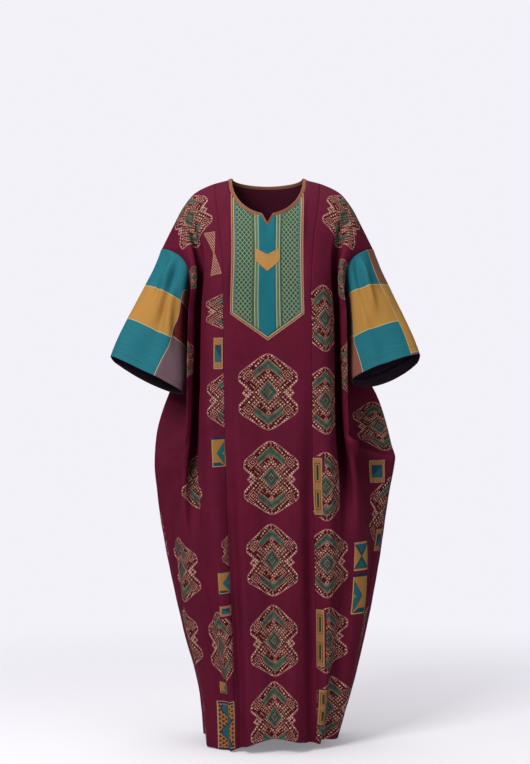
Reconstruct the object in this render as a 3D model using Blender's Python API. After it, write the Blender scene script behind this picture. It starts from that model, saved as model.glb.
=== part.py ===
"""A grand boubou robe as it hangs on its wearer, hollow, with its sleeves lowered to the sides.

Metres, +Z up, the front facing -Y. The origin lies between the two points where the neckline meets the
shoulders. "Right" and "left" are the wearer's, so the right side is at -X.

The cloth is one surface, cut into the pieces that a maker sews: a front centre panel, two front side panels,
a back, two sleeves, a neck binding and an embroidered bib. Each piece is a wall made from the shared surface,
so neighbours meet along the same line with a seam's gap between them.
"""

import math

import bpy
import numpy as np

# ---------------------------------------------------------------- sizes

WALL = 0.0020
SEAM_GAP = 0.0003

ARMPIT_Z = -0.350
PANEL_HALF = 0.115        # the centre panel, from its middle to the seam, along the cloth

NECK_HALF = 0.0990        # the neck seam; the binding's own edge lies BINDING inside it
NECK_FRONT_DROP = 0.1040
NECK_FRONT_REACH = 0.088
NECK_BACK_DROP = 0.020
NECK_BACK_REACH = 0.064
NOTCH_HALF = 0.0165
NOTCH_DROP = 0.0256
BINDING = 0.0075
NOTCH_BINDING = 0.0045
BINDING_STANDS = 0.0008   # how far the binding stands over the cloth, on both faces

BIB_HALF = 0.0925
BIB_POINT_Z = -0.417      # the bib's sides end level with the armpits, and its point lies here
BIB_THICK = 0.0010
STRIP_HALF = 0.0215       # the plain strip down the bib's middle
INNER_BRAID = 0.0330      # the outer edge of the braid beside that strip
BORDER_INNER = 0.0835     # the inner edge of the bib's border
BORDER_FALL = 0.0125      # the border's width along the point, measured straight down
CHEVRON_TOP_Z = -0.186    # the chevron's upper edge at its ends, and how far it falls to its middle
CHEVRON_TOP_FALL = 0.016
CHEVRON_LOW_Z = -0.217
CHEVRON_LOW_FALL = 0.027
LIFT = 0.0004             # clear air under anything that lies on the cloth
OVER_BIB = BIB_THICK + 2 * LIFT
OVER_BRAID = OVER_BIB + BIB_THICK + 2 * LIFT

# The shoulder seam of one side, from the sleeve seam up to the neck.
SHOULDER_COLUMNS = ("x", "z")
SHOULDER = (
    (0.270, -0.178),
    (0.242, -0.122),
    (0.214, -0.070),
    (0.188, -0.038),
    (0.145, -0.015),
    (NECK_HALF, -0.002),
)

# The armhole of one side, from the shoulder seam round to the armpit, on the front and on the back.
ARMHOLE_COLUMNS = ("share", "x", "front_y", "back_y", "z")
ARMHOLE = (
    (0.00, 0.270, 0.000, 0.000, -0.178),
    (0.20, 0.246, -0.046, 0.044, -0.186),
    (0.36, 0.220, -0.068, 0.064, -0.202),
    (0.52, 0.201, -0.076, 0.070, -0.228),
    (0.76, 0.196, -0.050, 0.046, -0.290),
    (1.00, 0.193, 0.006, 0.006, ARMPIT_Z),
)

# A row across each panel at chest height, from the armhole to the middle; place is as in FOLDS below.
CHEST_SHARE = 0.52        # where the row meets the armhole
CHEST_ROW_COLUMNS = ("panel", "place", "x", "y", "z")
CHEST_ROWS = (
    ("front", 0.20, 0.196, -0.090, -0.226),
    ("front", 0.38, 0.186, -0.098, -0.222),
    ("front", 0.50, 0.171, -0.078, -0.214),
    ("front", 0.64, 0.149, -0.099, -0.206),
    ("front", 0.86, 0.113, -0.112, -0.199),
    ("front", 1.00, 0.097, -0.114, -0.197),
    ("front", 2.00, 0.000, -0.118, -0.204),
    ("back", 0.38, 0.171, 0.094, -0.222),
    ("back", 0.64, 0.143, 0.106, -0.206),
    ("back", 0.86, 0.114, 0.112, -0.196),
    ("back", 1.00, 0.098, 0.114, -0.190),
    ("back", 2.00, 0.000, 0.112, -0.178),
)

# Level sections of the body, from the armpit to below the hem. front and back are the depths of its middle,
# seam the half width of the centre panel, and torso the half width of the part that hangs from the chest.
# Beside it a hollow, valley deep, and a hanging fold, strip deep, part it from the wide sides, whose tips
# are at wing_right, wing_left and wing_y. parted is how much of that shows: at 0 the section is one plain
# oval. lean moves the middle to the wearer's left.
SECTION_COLUMNS = (
    "z", "front", "back", "seam", "torso", "valley", "strip", "parted",
    "wing_right", "wing_left", "wing_y", "lean",
)
SECTIONS = (
    (ARMPIT_Z, 0.130, 0.116, 0.110, 0.184, 0.048, 0.096, 1.00, 0.194, 0.194, 0.006, 0.000),
    (-0.400, 0.133, 0.119, 0.110, 0.185, 0.042, 0.098, 1.00, 0.194, 0.195, 0.036, 0.001),
    (-0.460, 0.135, 0.122, 0.110, 0.186, 0.040, 0.098, 1.00, 0.216, 0.224, 0.062, 0.001),
    (-0.540, 0.138, 0.125, 0.110, 0.187, 0.040, 0.094, 1.00, 0.252, 0.278, 0.066, 0.002),
    (-0.640, 0.141, 0.128, 0.110, 0.188, 0.044, 0.088, 0.94, 0.284, 0.309, 0.054, 0.003),
    (-0.725, 0.144, 0.130, 0.109, 0.188, 0.052, 0.084, 0.72, 0.290, 0.327, 0.040, 0.005),
    (-0.850, 0.148, 0.133, 0.108, 0.184, 0.068, 0.084, 0.34, 0.273, 0.309, 0.024, 0.008),
    (-1.000, 0.152, 0.138, 0.106, 0.177, 0.090, 0.092, 0.10, 0.243, 0.276, 0.012, 0.013),
    (-1.150, 0.156, 0.142, 0.104, 0.167, 0.100, 0.098, 0.02, 0.208, 0.246, 0.004, 0.018),
    (-1.300, 0.160, 0.148, 0.102, 0.153, 0.100, 0.098, 0.00, 0.167, 0.208, 0.000, 0.022),
    (-1.440, 0.160, 0.150, 0.102, 0.141, 0.100, 0.096, 0.00, 0.153, 0.162, 0.000, 0.022),
)
OVAL_POWER = 0.86         # 1 is an ellipse; less is squarer

# The hem's height at marks round the body, from the middle of the front to the middle of the back.
HEM_COLUMNS = ("mark", "right", "left")
HEM = (
    ("centre", -1.395, -1.395),
    ("seam", -1.424, -1.415),
    ("chest", -1.430, -1.414),
    ("strip", -1.428, -1.408),
    ("tip", -1.420, -1.396),
    ("back_valley", -1.420, -1.412),
    ("back_ridge", -1.424, -1.420),
    ("back_centre", -1.412, -1.412),
)

# Hanging folds. top and low are places across a panel, from 0 at its side to 1 at the neck and 2 in its
# middle; z_top and z_low are its ends, and depth is outward.
FOLD_COLUMNS = ("panel", "side", "top", "low", "z_top", "z_low", "width", "depth")
FOLDS = (
    ("front", -1, 0.86, 0.92, -0.28, -1.46, 0.022, -0.010),
    ("front", -1, 0.72, 0.76, -0.42, -1.46, 0.020, 0.012),
    ("front", -1, 1.45, 1.35, -0.46, -1.40, 0.030, 0.010),
    ("front", -1, 0.50, 0.62, -0.95, -1.46, 0.016, -0.014),
    ("front", -1, 0.30, 0.30, -0.95, -1.46, 0.018, 0.012),
    ("front", -1, 0.10, 0.12, -0.62, -1.46, 0.022, -0.012),
    ("front", 1, 0.86, 0.86, -0.28, -1.46, 0.020, -0.012),
    ("front", 1, 0.70, 0.72, -0.46, -1.46, 0.020, 0.014),
    ("front", 1, 1.40, 1.50, -0.52, -1.46, 0.028, 0.010),
    ("front", 1, 0.48, 0.56, -0.92, -1.46, 0.018, -0.014),
    ("front", 1, 0.28, 0.32, -0.78, -1.46, 0.020, 0.014),
    ("front", 1, 0.10, 0.12, -0.76, -1.46, 0.020, -0.010),
    ("back", -1, 0.20, 0.24, -0.56, -1.46, 0.024, 0.014),
    ("back", -1, 0.42, 0.46, -0.30, -1.46, 0.024, -0.014),
    ("back", -1, 0.64, 0.66, -0.22, -1.46, 0.022, 0.018),
    ("back", -1, 0.86, 0.88, -0.26, -1.46, 0.026, -0.014),
    ("back", -1, 1.35, 1.30, -0.34, -1.46, 0.024, 0.012),
    ("back", -1, 1.80, 1.72, -0.50, -1.46, 0.022, -0.010),
    ("back", 1, 0.18, 0.22, -0.60, -1.46, 0.024, 0.014),
    ("back", 1, 0.40, 0.44, -0.32, -1.46, 0.024, -0.015),
    ("back", 1, 0.62, 0.66, -0.24, -1.46, 0.022, 0.018),
    ("back", 1, 0.88, 0.88, -0.28, -1.46, 0.026, -0.014),
    ("back", 1, 1.40, 1.40, -0.36, -1.46, 0.026, 0.013),
)

# Swags: ridges that cross a panel. near and far are places across it, z_near and z_far their heights.
SWAG_COLUMNS = ("panel", "side", "near", "far", "z_near", "z_far", "sag", "width", "depth")
SWAGS = (
    ("front", 1, 0.44, 0.02, -0.655, -0.690, 0.012, 0.022, 0.024),
    ("front", -1, 0.40, 0.03, -0.700, -0.735, 0.014, 0.024, 0.014),
)

# The cuffs: the outer and inner corners of the opening, how deep it is, how far it lies in front of the
# armhole, and how much lower its back edge hangs.
CUFF_COLUMNS = ("side", "outer_x", "outer_z", "inner_x", "inner_z", "half_depth", "y", "back_drop")
CUFFS = (
    (-1, 0.394, -0.454, 0.212, -0.543, 0.050, -0.066, 0.022),
    (1, 0.384, -0.452, 0.212, -0.512, 0.056, -0.066, 0.040),
)

# Sleeve folds: round is 0 on top of the sleeve, 0.25 on its front, 0.5 beneath it; along is 0 at the armhole.
SLEEVE_FOLD_COLUMNS = ("side", "round_in", "round_out", "along_in", "along_out", "width", "depth")
SLEEVE_FOLDS = (
    (-1, 0.15, 0.33, 0.00, 0.80, 0.016, 0.012),
    (-1, 0.30, 0.20, 0.10, 1.20, 0.026, -0.008),
    (-1, 0.72, 0.66, 0.00, 1.00, 0.022, 0.010),
    (-1, 0.86, 0.84, 0.20, 1.10, 0.024, -0.006),
    (1, 0.16, 0.30, 0.00, 0.70, 0.018, 0.010),
    (1, 0.30, 0.22, 0.15, 1.20, 0.026, -0.007),
    (1, 0.70, 0.66, 0.00, 1.00, 0.022, 0.010),
    (1, 0.86, 0.82, 0.20, 1.10, 0.024, -0.006),
)

# ---------------------------------------------------------------- colours

WINE = (0.115, 0.012, 0.035)
TEAL = (0.012, 0.165, 0.190)
TAN = (0.230, 0.110, 0.050)
GREEN = (0.150, 0.210, 0.140)
CREAM = (0.330, 0.290, 0.160)
GOLD = (0.480, 0.240, 0.070)
FINISH_COLUMNS = ("slot", "colour", "roughness")
FINISHES = {
    "front_centre": ("wine_cloth", WINE, 0.70),
    "front_side_right": ("wine_cloth", WINE, 0.70),
    "front_side_left": ("wine_cloth", WINE, 0.70),
    "back": ("wine_cloth", WINE, 0.70),
    "sleeve_right": ("check_cloth", TEAL, 0.75),
    "sleeve_left": ("check_cloth", TEAL, 0.75),
    "neck_binding": ("tan_binding", TAN, 0.70),
    "bib": ("lattice_embroidery", GREEN, 0.65),
    "bib_strip": ("teal_strip", TEAL, 0.70),
    "bib_braid_right": ("braid", CREAM, 0.60),
    "bib_braid_left": ("braid", CREAM, 0.60),
    "bib_border": ("braid", CREAM, 0.60),
    "bib_chevron": ("gold_applique", GOLD, 0.60),
}

# ---------------------------------------------------------------- how finely each piece is drawn

# Places across a panel, as in FOLDS.
ACROSS_SIDE = (0.0, 0.07, 0.135, 0.20, 0.29, 0.38, 0.42, 0.46, 0.50, 0.545, 0.59, 0.64, 0.75, 0.86)
UPPER_ROWS = (0.0, 0.08, 0.17, 0.27, 0.38, CHEST_SHARE, 0.62, 0.74, 0.87, 1.0)
LOWER_ROWS = 17
FIRST_LOWER = 0.063       # the first row below the armpits, level with the bib's point
SLEEVE_ROWS = 8
CHEVRON_LEVELS = 5
NECK_TURN = 0.0968        # a column close inside the neck's ends, where its line turns sharply

# Where the body's marks lie across a panel, from its side to its middle.
NECK_SHARE = (PANEL_HALF - NECK_HALF) / PANEL_HALF
FRONT_PLACES = (0.0, 0.20, 0.38, 0.50, 0.64, 0.86, 1.0, 2.0)
FRONT_MARKS = (0.0, 1.0, 2.0, 3.0, 4.0, 5.0, 5.0 + NECK_SHARE, 6.0)
BACK_PLACES = (0.0, 0.38, 0.64, 0.86, 1.0, 2.0)
BACK_MARKS = (0.0, 1.0, 2.0, 3.0, 3.0 + NECK_SHARE, 4.0)
MARK_NAMES = {
    "tip": 0, "root": 1, "strip": 2, "valley": 3, "chest": 4, "seam": 5, "centre": 6,
    "back_wing": 1, "back_valley": 2, "back_ridge": 3, "back_centre": 4,
}


def place_at(u):
    """The place across the centre panel of a line that runs u metres from its middle."""
    share = (PANEL_HALF - u) / PANEL_HALF
    return 1.0 + (share - NECK_SHARE) / (1.0 - NECK_SHARE)


FRONT_MIDDLE = tuple(
    place_at(u)
    for u in (
        NECK_HALF, NECK_TURN, BIB_HALF, BORDER_INNER, (BORDER_INNER + INNER_BRAID) / 2,
        INNER_BRAID, STRIP_HALF, NOTCH_HALF, 0.0,
    )
)
BACK_MIDDLE = (1.0, 1.12, 1.30, 1.54, 1.78, 2.0)


# ---------------------------------------------------------------- curves

def table(rows, columns):
    """A table's numeric columns by name."""
    return {name: np.array([row[i] for row in rows]) for i, name in enumerate(columns)}


def spline(knots, values, at):
    """A smooth curve through values at the knots, read at the places in at."""
    knots, values, at = np.asarray(knots, float), np.asarray(values, float), np.asarray(at, float)
    values = values.reshape(len(knots), -1)
    steps = np.diff(knots)[:, None]
    slopes = np.diff(values, axis=0) / steps
    tangents = np.vstack([
        slopes[:1],
        (slopes[:-1] * steps[1:] + slopes[1:] * steps[:-1]) / (steps[1:] + steps[:-1]),
        slopes[-1:],
    ])
    i = np.clip(np.searchsorted(knots, at, side="right") - 1, 0, len(knots) - 2)
    h = steps[i]
    t = ((at - knots[i])[:, None]) / h
    return (
        (2 * t**3 - 3 * t**2 + 1) * values[i]
        + (t**3 - 2 * t**2 + t) * h * tangents[i]
        + (3 * t**2 - 2 * t**3) * values[i + 1]
        + (t**3 - t**2) * h * tangents[i + 1]
    )


def smoothstep(low, high, x):
    t = np.clip((x - low) / (high - low), 0.0, 1.0)
    return t * t * (3.0 - 2.0 * t)


def ends_fade(t, share=0.22):
    """1 along a fold, falling to 0 at both of its ends, and 0 beyond them."""
    return smoothstep(0.0, share, t) * (1.0 - smoothstep(1.0 - share, 1.0, t))


def hermite(start, end, leave, arrive, t):
    return (
        (2 * t**3 - 3 * t**2 + 1) * start
        + (t**3 - 2 * t**2 + t) * leave
        + (3 * t**2 - 2 * t**3) * end
        + (t**3 - t**2) * arrive
    )


# ---------------------------------------------------------------- the body below the armpits

SECTION = table(SECTIONS, SECTION_COLUMNS)
SECTION_DEEPER = {name: values[::-1] for name, values in SECTION.items()}


def section_at(z):
    """Every column of SECTIONS at height z."""
    return {
        name: float(spline(SECTION_DEEPER["z"], SECTION_DEEPER[name], [z])[0, 0])
        for name in SECTION_COLUMNS
    }


def oval(half, s, back, share):
    """A point (x, y) of the plain oval section, share of the way round from the wide side to the middle."""
    turn = share * math.pi / 2
    depth = s["back"] if back else -s["front"]
    x = half * math.cos(turn) ** OVAL_POWER
    y = s["wing_y"] + (depth - s["wing_y"]) * math.sin(turn) ** OVAL_POWER
    return np.array([x, y])


def half_marks(s, side):
    """One half of the body's marks at section s, by name, with x out from the middle."""
    torso, tip_y = s["torso"], s["wing_y"]
    wing = s["wing_right"] if side < 0 else s["wing_left"]
    seam_x = s["seam"] + side * s["lean"]
    seam_share = math.acos((seam_x / wing) ** (1 / OVAL_POWER)) / (math.pi / 2)
    parted = s["parted"]
    half = {"tip": np.array([wing, tip_y])}
    for name, share, back, hanging in (
        ("root", 0.30, False, (1.02 * torso, tip_y - 0.024)),
        ("strip", 0.54, False, (1.07 * torso, -s["strip"])),
        ("valley", 0.70, False, (0.915 * torso, -s["valley"])),
        ("chest", 0.84, False, (0.83 * torso, -0.86 * s["front"])),
        ("seam", 1.0, False, (seam_x, -s["front"])),
        ("back_wing", 0.34, True, (0.42 * torso + 0.58 * wing, tip_y + 0.030)),
        ("back_valley", 0.68, True, (0.84 * torso, 0.78 * s["back"])),
        ("back_ridge", 1.0, True, (0.60 * torso, s["back"])),
    ):
        plain = oval(wing, s, back, share * seam_share)
        half[name] = (1 - parted) * plain + parted * np.array(hanging)
    return {name: np.array([side * x, y]) for name, (x, y) in half.items()}


def marks_at(z):
    """The body's marks at height z, in order round it: right tip, front, left tip, back."""
    s = section_at(z)
    right, left = half_marks(s, -1), half_marks(s, 1)
    centre = (s["lean"], -0.985 * s["front"])
    back_centre = (s["lean"], 0.97 * s["back"])
    front_half = ("tip", "root", "strip", "valley", "chest", "seam")
    back_half = ("back_wing", "back_valley", "back_ridge")
    return np.array(
        [right[name] for name in front_half]
        + [centre]
        + [left[name] for name in reversed(front_half)]
        + [left[name] for name in back_half]
        + [back_centre]
        + [right[name] for name in reversed(back_half)]
    )


def level_ring(z, at):
    """Points (x, y) of the body's closed outline at height z, at marks numbered from 0, the right tip."""
    marks = marks_at(z)
    count = len(marks)
    around = np.vstack([marks[-2:], marks, marks[:3]])
    knots = np.concatenate([[0.0], np.cumsum(np.linalg.norm(np.diff(around, axis=0), axis=1) ** 0.5)])
    numbers = np.arange(-2, count + 3)
    return spline(knots, around, np.interp(at, numbers, knots))


FRONT_SPAN, BACK_SPAN = 6, 4
LEFT_TIP = 2 * FRONT_SPAN


def ring_numbers(panel, places):
    """The ring's mark numbers for a panel's places, which run from its right side to its left on the front,
    and from its left side to its right on the back. places holds one half, from the side to the middle."""
    if panel == "front":
        half = np.interp(places, FRONT_PLACES, FRONT_MARKS)
        return np.concatenate([half, 2 * FRONT_SPAN - half[-2::-1]])
    half = np.interp(places, BACK_PLACES, BACK_MARKS)
    return np.concatenate([LEFT_TIP + half, LEFT_TIP + 2 * BACK_SPAN - half[-2::-1]])


def both_halves(places):
    return np.concatenate([places, places[-2::-1]])


def panel_sides(panel, places):
    """-1 for the wearer's right and 1 for the left, for each column."""
    first = -1 if panel == "front" else 1
    half = len(places)
    return np.concatenate([np.full(half - 1, first), [0], np.full(half - 1, -first)]).astype(float)


# ---------------------------------------------------------------- the shoulders, neck and armholes

def shoulder_and_neck(panel, places, sides, edge=0.0):
    """The top line of a panel: along the shoulder seam, then round the neck. edge moves the neck part from
    the seam (0) to the binding's own edge (1)."""
    shoulder = table(SHOULDER, SHOULDER_COLUMNS)
    line = np.stack([shoulder["x"], shoulder["z"]], 1)
    lengths = np.concatenate([[0.0], np.cumsum(np.linalg.norm(np.diff(line, axis=0), axis=1))])
    lengths /= lengths[-1]
    on_seam = spline(lengths, line, np.clip(places, 0.0, 1.0))
    half = NECK_HALF - edge * (BINDING + 0.001)
    lift = edge * BINDING
    turn = np.zeros(len(places))
    neck = places > 1.0
    if panel == "front":
        u = PANEL_HALF * (6.0 - np.interp(places, FRONT_PLACES, FRONT_MARKS))
        turn[neck] = np.arccos(np.clip(u[neck] / NECK_HALF, -1.0, 1.0))
        drop, reach = NECK_FRONT_DROP - lift, -NECK_FRONT_REACH
        notch = np.clip(1.0 - u / (NOTCH_HALF - 1e-9), 0.0, 1.0) * NOTCH_DROP
        notch = notch - edge * (BINDING - NOTCH_BINDING) * (u < NOTCH_HALF + 1e-6)
    else:
        turn[neck] = (places[neck] - 1.0) * math.pi / 2
        drop, reach = NECK_BACK_DROP - lift, NECK_BACK_REACH - 0.5 * lift
        notch = np.zeros(len(places))
    x = np.where(neck, half * np.cos(turn), on_seam[:, 0])
    y = reach * np.sin(turn)
    z = np.where(neck, -drop * np.sin(turn), 0.0) + on_seam[:, 1] * np.where(neck, np.cos(turn), 1.0)
    z = z - notch
    y = y - 0.25 * notch
    if edge:
        x = np.where(neck, x, half)
        z = z + lift * np.cos(turn) * 0.4
    return np.stack([sides * x, y, z], 1)


def armhole(panel, side, shares):
    """Points of an armhole from the shoulder seam down to the armpit."""
    a = table(ARMHOLE, ARMHOLE_COLUMNS)
    line = np.stack([side * a["x"], a[panel + "_y"], a["z"]], 1)
    return spline(a["share"], line, shares)


def hem_height(panel, places, sides):
    """The height of a panel's lower edge in each column."""
    known = (FRONT_PLACES, FRONT_MARKS) if panel == "front" else (BACK_PLACES, BACK_MARKS)
    numbers = np.interp(places, *known)
    rows = [row for row in HEM if row[0].startswith("back") == (panel == "back") or row[0] == "tip"]
    rows.sort(key=lambda row: MARK_NAMES[row[0]])
    knots = [MARK_NAMES[row[0]] for row in rows]
    right = spline(knots, [row[1] for row in rows], numbers)[:, 0]
    left = spline(knots, [row[2] for row in rows], numbers)[:, 0]
    return np.where(sides < 0, right, left)


def chest_row(panel, across, sides):
    """The row of a panel at chest height, in each of its columns."""
    rows = [dict(zip(CHEST_ROW_COLUMNS, row)) for row in CHEST_ROWS if row[0] == panel]
    places = np.array([0.0] + [row["place"] for row in rows])
    first = 1.0 if panel == "back" else -1.0
    ends = [armhole(panel, side, np.array([CHEST_SHARE]))[0] for side in (first, -first)]
    inner = np.array([[row["x"], row["y"], row["z"]] for row in rows])
    near = np.vstack([ends[0], inner * (first, 1.0, 1.0)])
    far = np.vstack([ends[1], inner * (-first, 1.0, 1.0)])
    line = np.vstack([near, far[-2::-1]])
    knots = np.concatenate([places, 4.0 - places[-2::-1]])
    at = np.where(sides == -first, 4.0 - across, across)
    return spline(knots, line, at)


def plain_panel(panel, places, upper, lower):
    """A body panel with no small folds: a grid of rows from its top to its hem, and columns across it."""
    across = both_halves(np.asarray(places))
    sides = panel_sides(panel, places)
    numbers = ring_numbers(panel, np.asarray(places))
    top = shoulder_and_neck(panel, across, np.where(sides == 0, 1.0, sides))
    chest = chest_row(panel, across, sides)
    step = 0.004

    def ring3(z):
        points = level_ring(z, numbers)
        return np.column_stack([points, np.full(len(points), z)])

    armpit, below = ring3(ARMPIT_Z), ring3(ARMPIT_Z - step)
    first_length = np.linalg.norm(chest - top, axis=1)[:, None]
    second_length = np.linalg.norm(armpit - chest, axis=1)[:, None]
    on_neck = np.clip((across - 1.0) * 1.6, 0.0, 1.0)[:, None]
    ahead = -1.0 if panel == "front" else 1.0
    near_neck = smoothstep(0.45, 0.95, across)[:, None]
    over_shoulder = np.array([0.0, 0.95 * ahead, -0.25])
    beside_neck = np.array([0.0, 0.74 * ahead, -0.62])
    down_neck = np.array([0.0, 0.34 * ahead, -0.92])
    leave = over_shoulder + near_neck * (beside_neck - over_shoulder)
    leave = (leave + on_neck * (down_neck - leave)) * first_length
    pass_by = (armpit - top) * 0.62
    arrive = (below - armpit) / step * second_length
    ends = {column: armhole(panel, sides[column], upper) for column in (0, len(across) - 1)}
    middle = len(across) // 2
    near = 1.0 - smoothstep(0.0, 0.46, across)
    grid = []
    for i, v in enumerate(upper):
        if v < CHEST_SHARE:
            t = v / CHEST_SHARE
            row = hermite(top, chest, leave, pass_by * CHEST_SHARE / 0.5, t)
        else:
            t = (v - CHEST_SHARE) / (1 - CHEST_SHARE)
            row = hermite(chest, armpit, pass_by * (1 - CHEST_SHARE) / 0.5, arrive, t)
        for column, line in ends.items():
            mine = (np.arange(len(across)) < middle) == (column < middle)
            row = row + (near * mine)[:, None] * (line[i] - row[column])
        grid.append(row)
    hem = hem_height(panel, across, sides)
    for v in lower[1:]:
        heights = ARMPIT_Z + v * (hem - ARMPIT_Z)
        row = np.empty((len(across), 3))
        for column, z in enumerate(heights):
            row[column, :2] = level_ring(z, numbers[column:column + 1])[0]
        row[:, 2] = heights
        grid.append(row)
    return np.array(grid)


def surface_normals(grid, turn):
    """Unit normals of a grid, one for each point. turn is 1 or -1, whichever makes them point outward."""
    along = np.gradient(grid, axis=0)
    across = np.gradient(grid, axis=1)
    normal = turn * np.cross(along, across)
    return normal / np.maximum(np.linalg.norm(normal, axis=2, keepdims=True), 1e-9)


def distance_across(grid):
    """How far each point lies along its own row, from the row's middle outward."""
    steps = np.linalg.norm(np.diff(grid, axis=1), axis=2)
    run = np.concatenate([np.zeros((len(grid), 1)), np.cumsum(steps, axis=1)], axis=1)
    return run - run[:, run.shape[1] // 2][:, None]


def fold_depths(panel, grid, places):
    """How far the hanging folds and swags move each point of a panel outward."""
    across = both_halves(np.asarray(places))
    sides = panel_sides(panel, places)
    run = np.abs(distance_across(grid))
    middle = len(places) - 1
    z = grid[:, :, 2]
    depth = np.zeros(z.shape)
    for row in FOLDS:
        fold = dict(zip(FOLD_COLUMNS, row))
        if fold["panel"] != panel:
            continue
        mine = (sides == fold["side"]) | (sides == 0)
        t = (z - fold["z_top"]) / (fold["z_low"] - fold["z_top"])
        place = fold["top"] + np.clip(t, 0, 1) * (fold["low"] - fold["top"])
        half = slice(0, middle + 1) if sides[0] == fold["side"] else slice(middle, None)
        order = np.argsort(across[half])
        for i in range(len(grid)):
            centre = np.interp(place[i], across[half][order], run[i, half][order])
            away = run[i] - centre
            strength = smoothstep(0.0, 0.45, t[i])
            depth[i] += np.where(mine, fold["depth"] * strength * np.exp(-((away / fold["width"]) ** 2)), 0.0)
    for row in SWAGS:
        swag = dict(zip(SWAG_COLUMNS, row))
        if swag["panel"] != panel:
            continue
        mine = (sides == swag["side"]) | (sides == 0)
        t = (across - swag["near"]) / (swag["far"] - swag["near"])
        line = swag["z_near"] + t * (swag["z_far"] - swag["z_near"]) - 4 * swag["sag"] * t * (1 - t)
        away = (z - line) / swag["width"]
        depth += np.where(mine, swag["depth"] * ends_fade(t, 0.3) * np.exp(-away**2), 0.0)
    return depth


def body_panel(panel, places, upper, lower):
    """A body panel with all its folds."""
    grid = plain_panel(panel, places, upper, lower)
    depth = fold_depths(panel, grid, places)
    upper_count = len(upper)
    edge_share = np.clip(both_halves(np.asarray(places)) / 0.10, 0.0, 1.0)
    depth = depth * edge_share
    depth[0] = 0.0
    depth[:upper_count] *= smoothstep(0.0, 0.5, np.asarray(upper))[:, None]
    return grid + surface_normals(grid, 1.0) * depth[:, :, None]


# ---------------------------------------------------------------- sleeves

def cuff_row(side):
    return next(dict(zip(CUFF_COLUMNS, row)) for row in CUFFS if row[0] == side)


def cuff_loop(side, rounds):
    """The cuff's opening. rounds runs from 0 at its outer corner, over its front, to 0.5 at its inner one."""
    c = cuff_row(side)
    outer = np.array([side * c["outer_x"], c["y"], c["outer_z"]])
    inner = np.array([side * c["inner_x"], c["y"], c["inner_z"]])
    turn = 2 * math.pi * rounds
    middle, reach = (outer + inner) / 2, (outer - inner) / 2
    sway = -np.sin(turn)
    depth = sway * c["half_depth"]
    sink = np.where(sway > 0, sway, 0.35 * sway) * c["back_drop"]
    return middle + np.cos(turn)[:, None] * reach + np.column_stack([0 * depth, depth, -sink])


def sleeve(side, upper, rows):
    """A sleeve as a grid: rows from the armhole to the cuff, columns round it."""
    front = armhole("front", side, upper)
    back = armhole("back", side, upper)
    start = np.vstack([front, back[-2:0:-1]])
    count = len(start)
    rounds = np.arange(count) / count
    end = cuff_loop(side, rounds)
    axis = end.mean(axis=0) - start.mean(axis=0)
    length = np.linalg.norm(end - start, axis=1)[:, None]
    pull = axis / np.linalg.norm(axis) * length * 0.9
    along = np.linspace(0.0, 1.0, rows + 1)
    grid = np.array([hermite(start, end, pull, pull, w) for w in along])
    closed = np.concatenate([grid[:, -1:], grid, grid[:, :1]], axis=1)
    normal = surface_normals(closed, -side)[:, 1:-1]
    steps = np.linalg.norm(np.diff(closed[:, 1:], axis=1), axis=2)
    girth = steps.sum(axis=1)[:, None]
    depth = np.zeros((rows + 1, count))
    for row in SLEEVE_FOLDS:
        fold = dict(zip(SLEEVE_FOLD_COLUMNS, row))
        if fold["side"] != side:
            continue
        t = (along - fold["along_in"]) / (fold["along_out"] - fold["along_in"])
        centre = fold["round_in"] + np.clip(t, 0, 1) * (fold["round_out"] - fold["round_in"])
        away = (rounds[None, :] - centre[:, None] + 0.5) % 1.0 - 0.5
        away = away * girth / fold["width"]
        depth += fold["depth"] * ends_fade(t, 0.35)[:, None] * np.exp(-away**2)
    depth[0] = 0.0
    return grid + normal * depth[:, :, None]


# ---------------------------------------------------------------- walls

def key_of(point):
    return tuple(np.round(point, 6))


def unit(vector):
    return vector / max(np.linalg.norm(vector), 1e-12)


class Shared:
    """The whole surface's normals, so that pieces which share a seam also share its direction. Where the body
    and a sleeve meet in a deep crease, each keeps its own."""

    def __init__(self):
        self.sums = {"body": {}, "sleeve": {}}

    def add(self, group, grid, turn, closed=False):
        points = np.concatenate([grid, grid[:, :1]], axis=1) if closed else grid
        a, b = points[:-1, :-1], points[:-1, 1:]
        c, d = points[1:, 1:], points[1:, :-1]
        normal = turn * np.cross(c - a, b - d)
        normal = normal / np.maximum(np.linalg.norm(normal, axis=2, keepdims=True), 1e-12)
        sums = self.sums[group]
        for i in range(normal.shape[0]):
            for j in range(normal.shape[1]):
                for corner in (a, b, c, d):
                    key = key_of(corner[i, j])
                    sums[key] = sums.get(key, 0.0) + normal[i, j]

    def at(self, group, grid):
        own, other = self.sums[group], self.sums["sleeve" if group == "body" else "body"]
        out = np.empty(grid.shape)
        for index in np.ndindex(grid.shape[:2]):
            key = key_of(grid[index])
            mine = unit(own[key])
            if key in other:
                theirs = unit(other[key])
                apart = 1.0 - smoothstep(0.2, 0.6, mine @ theirs)
                mine = apart * mine + (1.0 - apart) * unit(mine + theirs)
            out[index] = unit(mine)
        return out


def trimmed(points, edges):
    """points with the named edges drawn back by half the seam gap, along the cloth and square to the edge."""
    points = points.copy()
    inward = {
        "top": ((0, slice(None)), (1, slice(None))),
        "low": ((-1, slice(None)), (-2, slice(None))),
        "first": ((slice(None), 0), (slice(None), 1)),
        "last": ((slice(None), -1), (slice(None), -2)),
    }
    moves = []
    for edge in edges:
        at, towards = inward[edge]
        line = points[at]
        along = np.gradient(line, axis=0)
        along = along / np.linalg.norm(along, axis=1, keepdims=True)
        step = points[towards] - line
        step = step - (step * along).sum(axis=1, keepdims=True) * along
        moves.append((at, step / np.linalg.norm(step, axis=1, keepdims=True)))
    for at, step in moves:
        points[at] = points[at] + step * SEAM_GAP / 2
    return points


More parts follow.
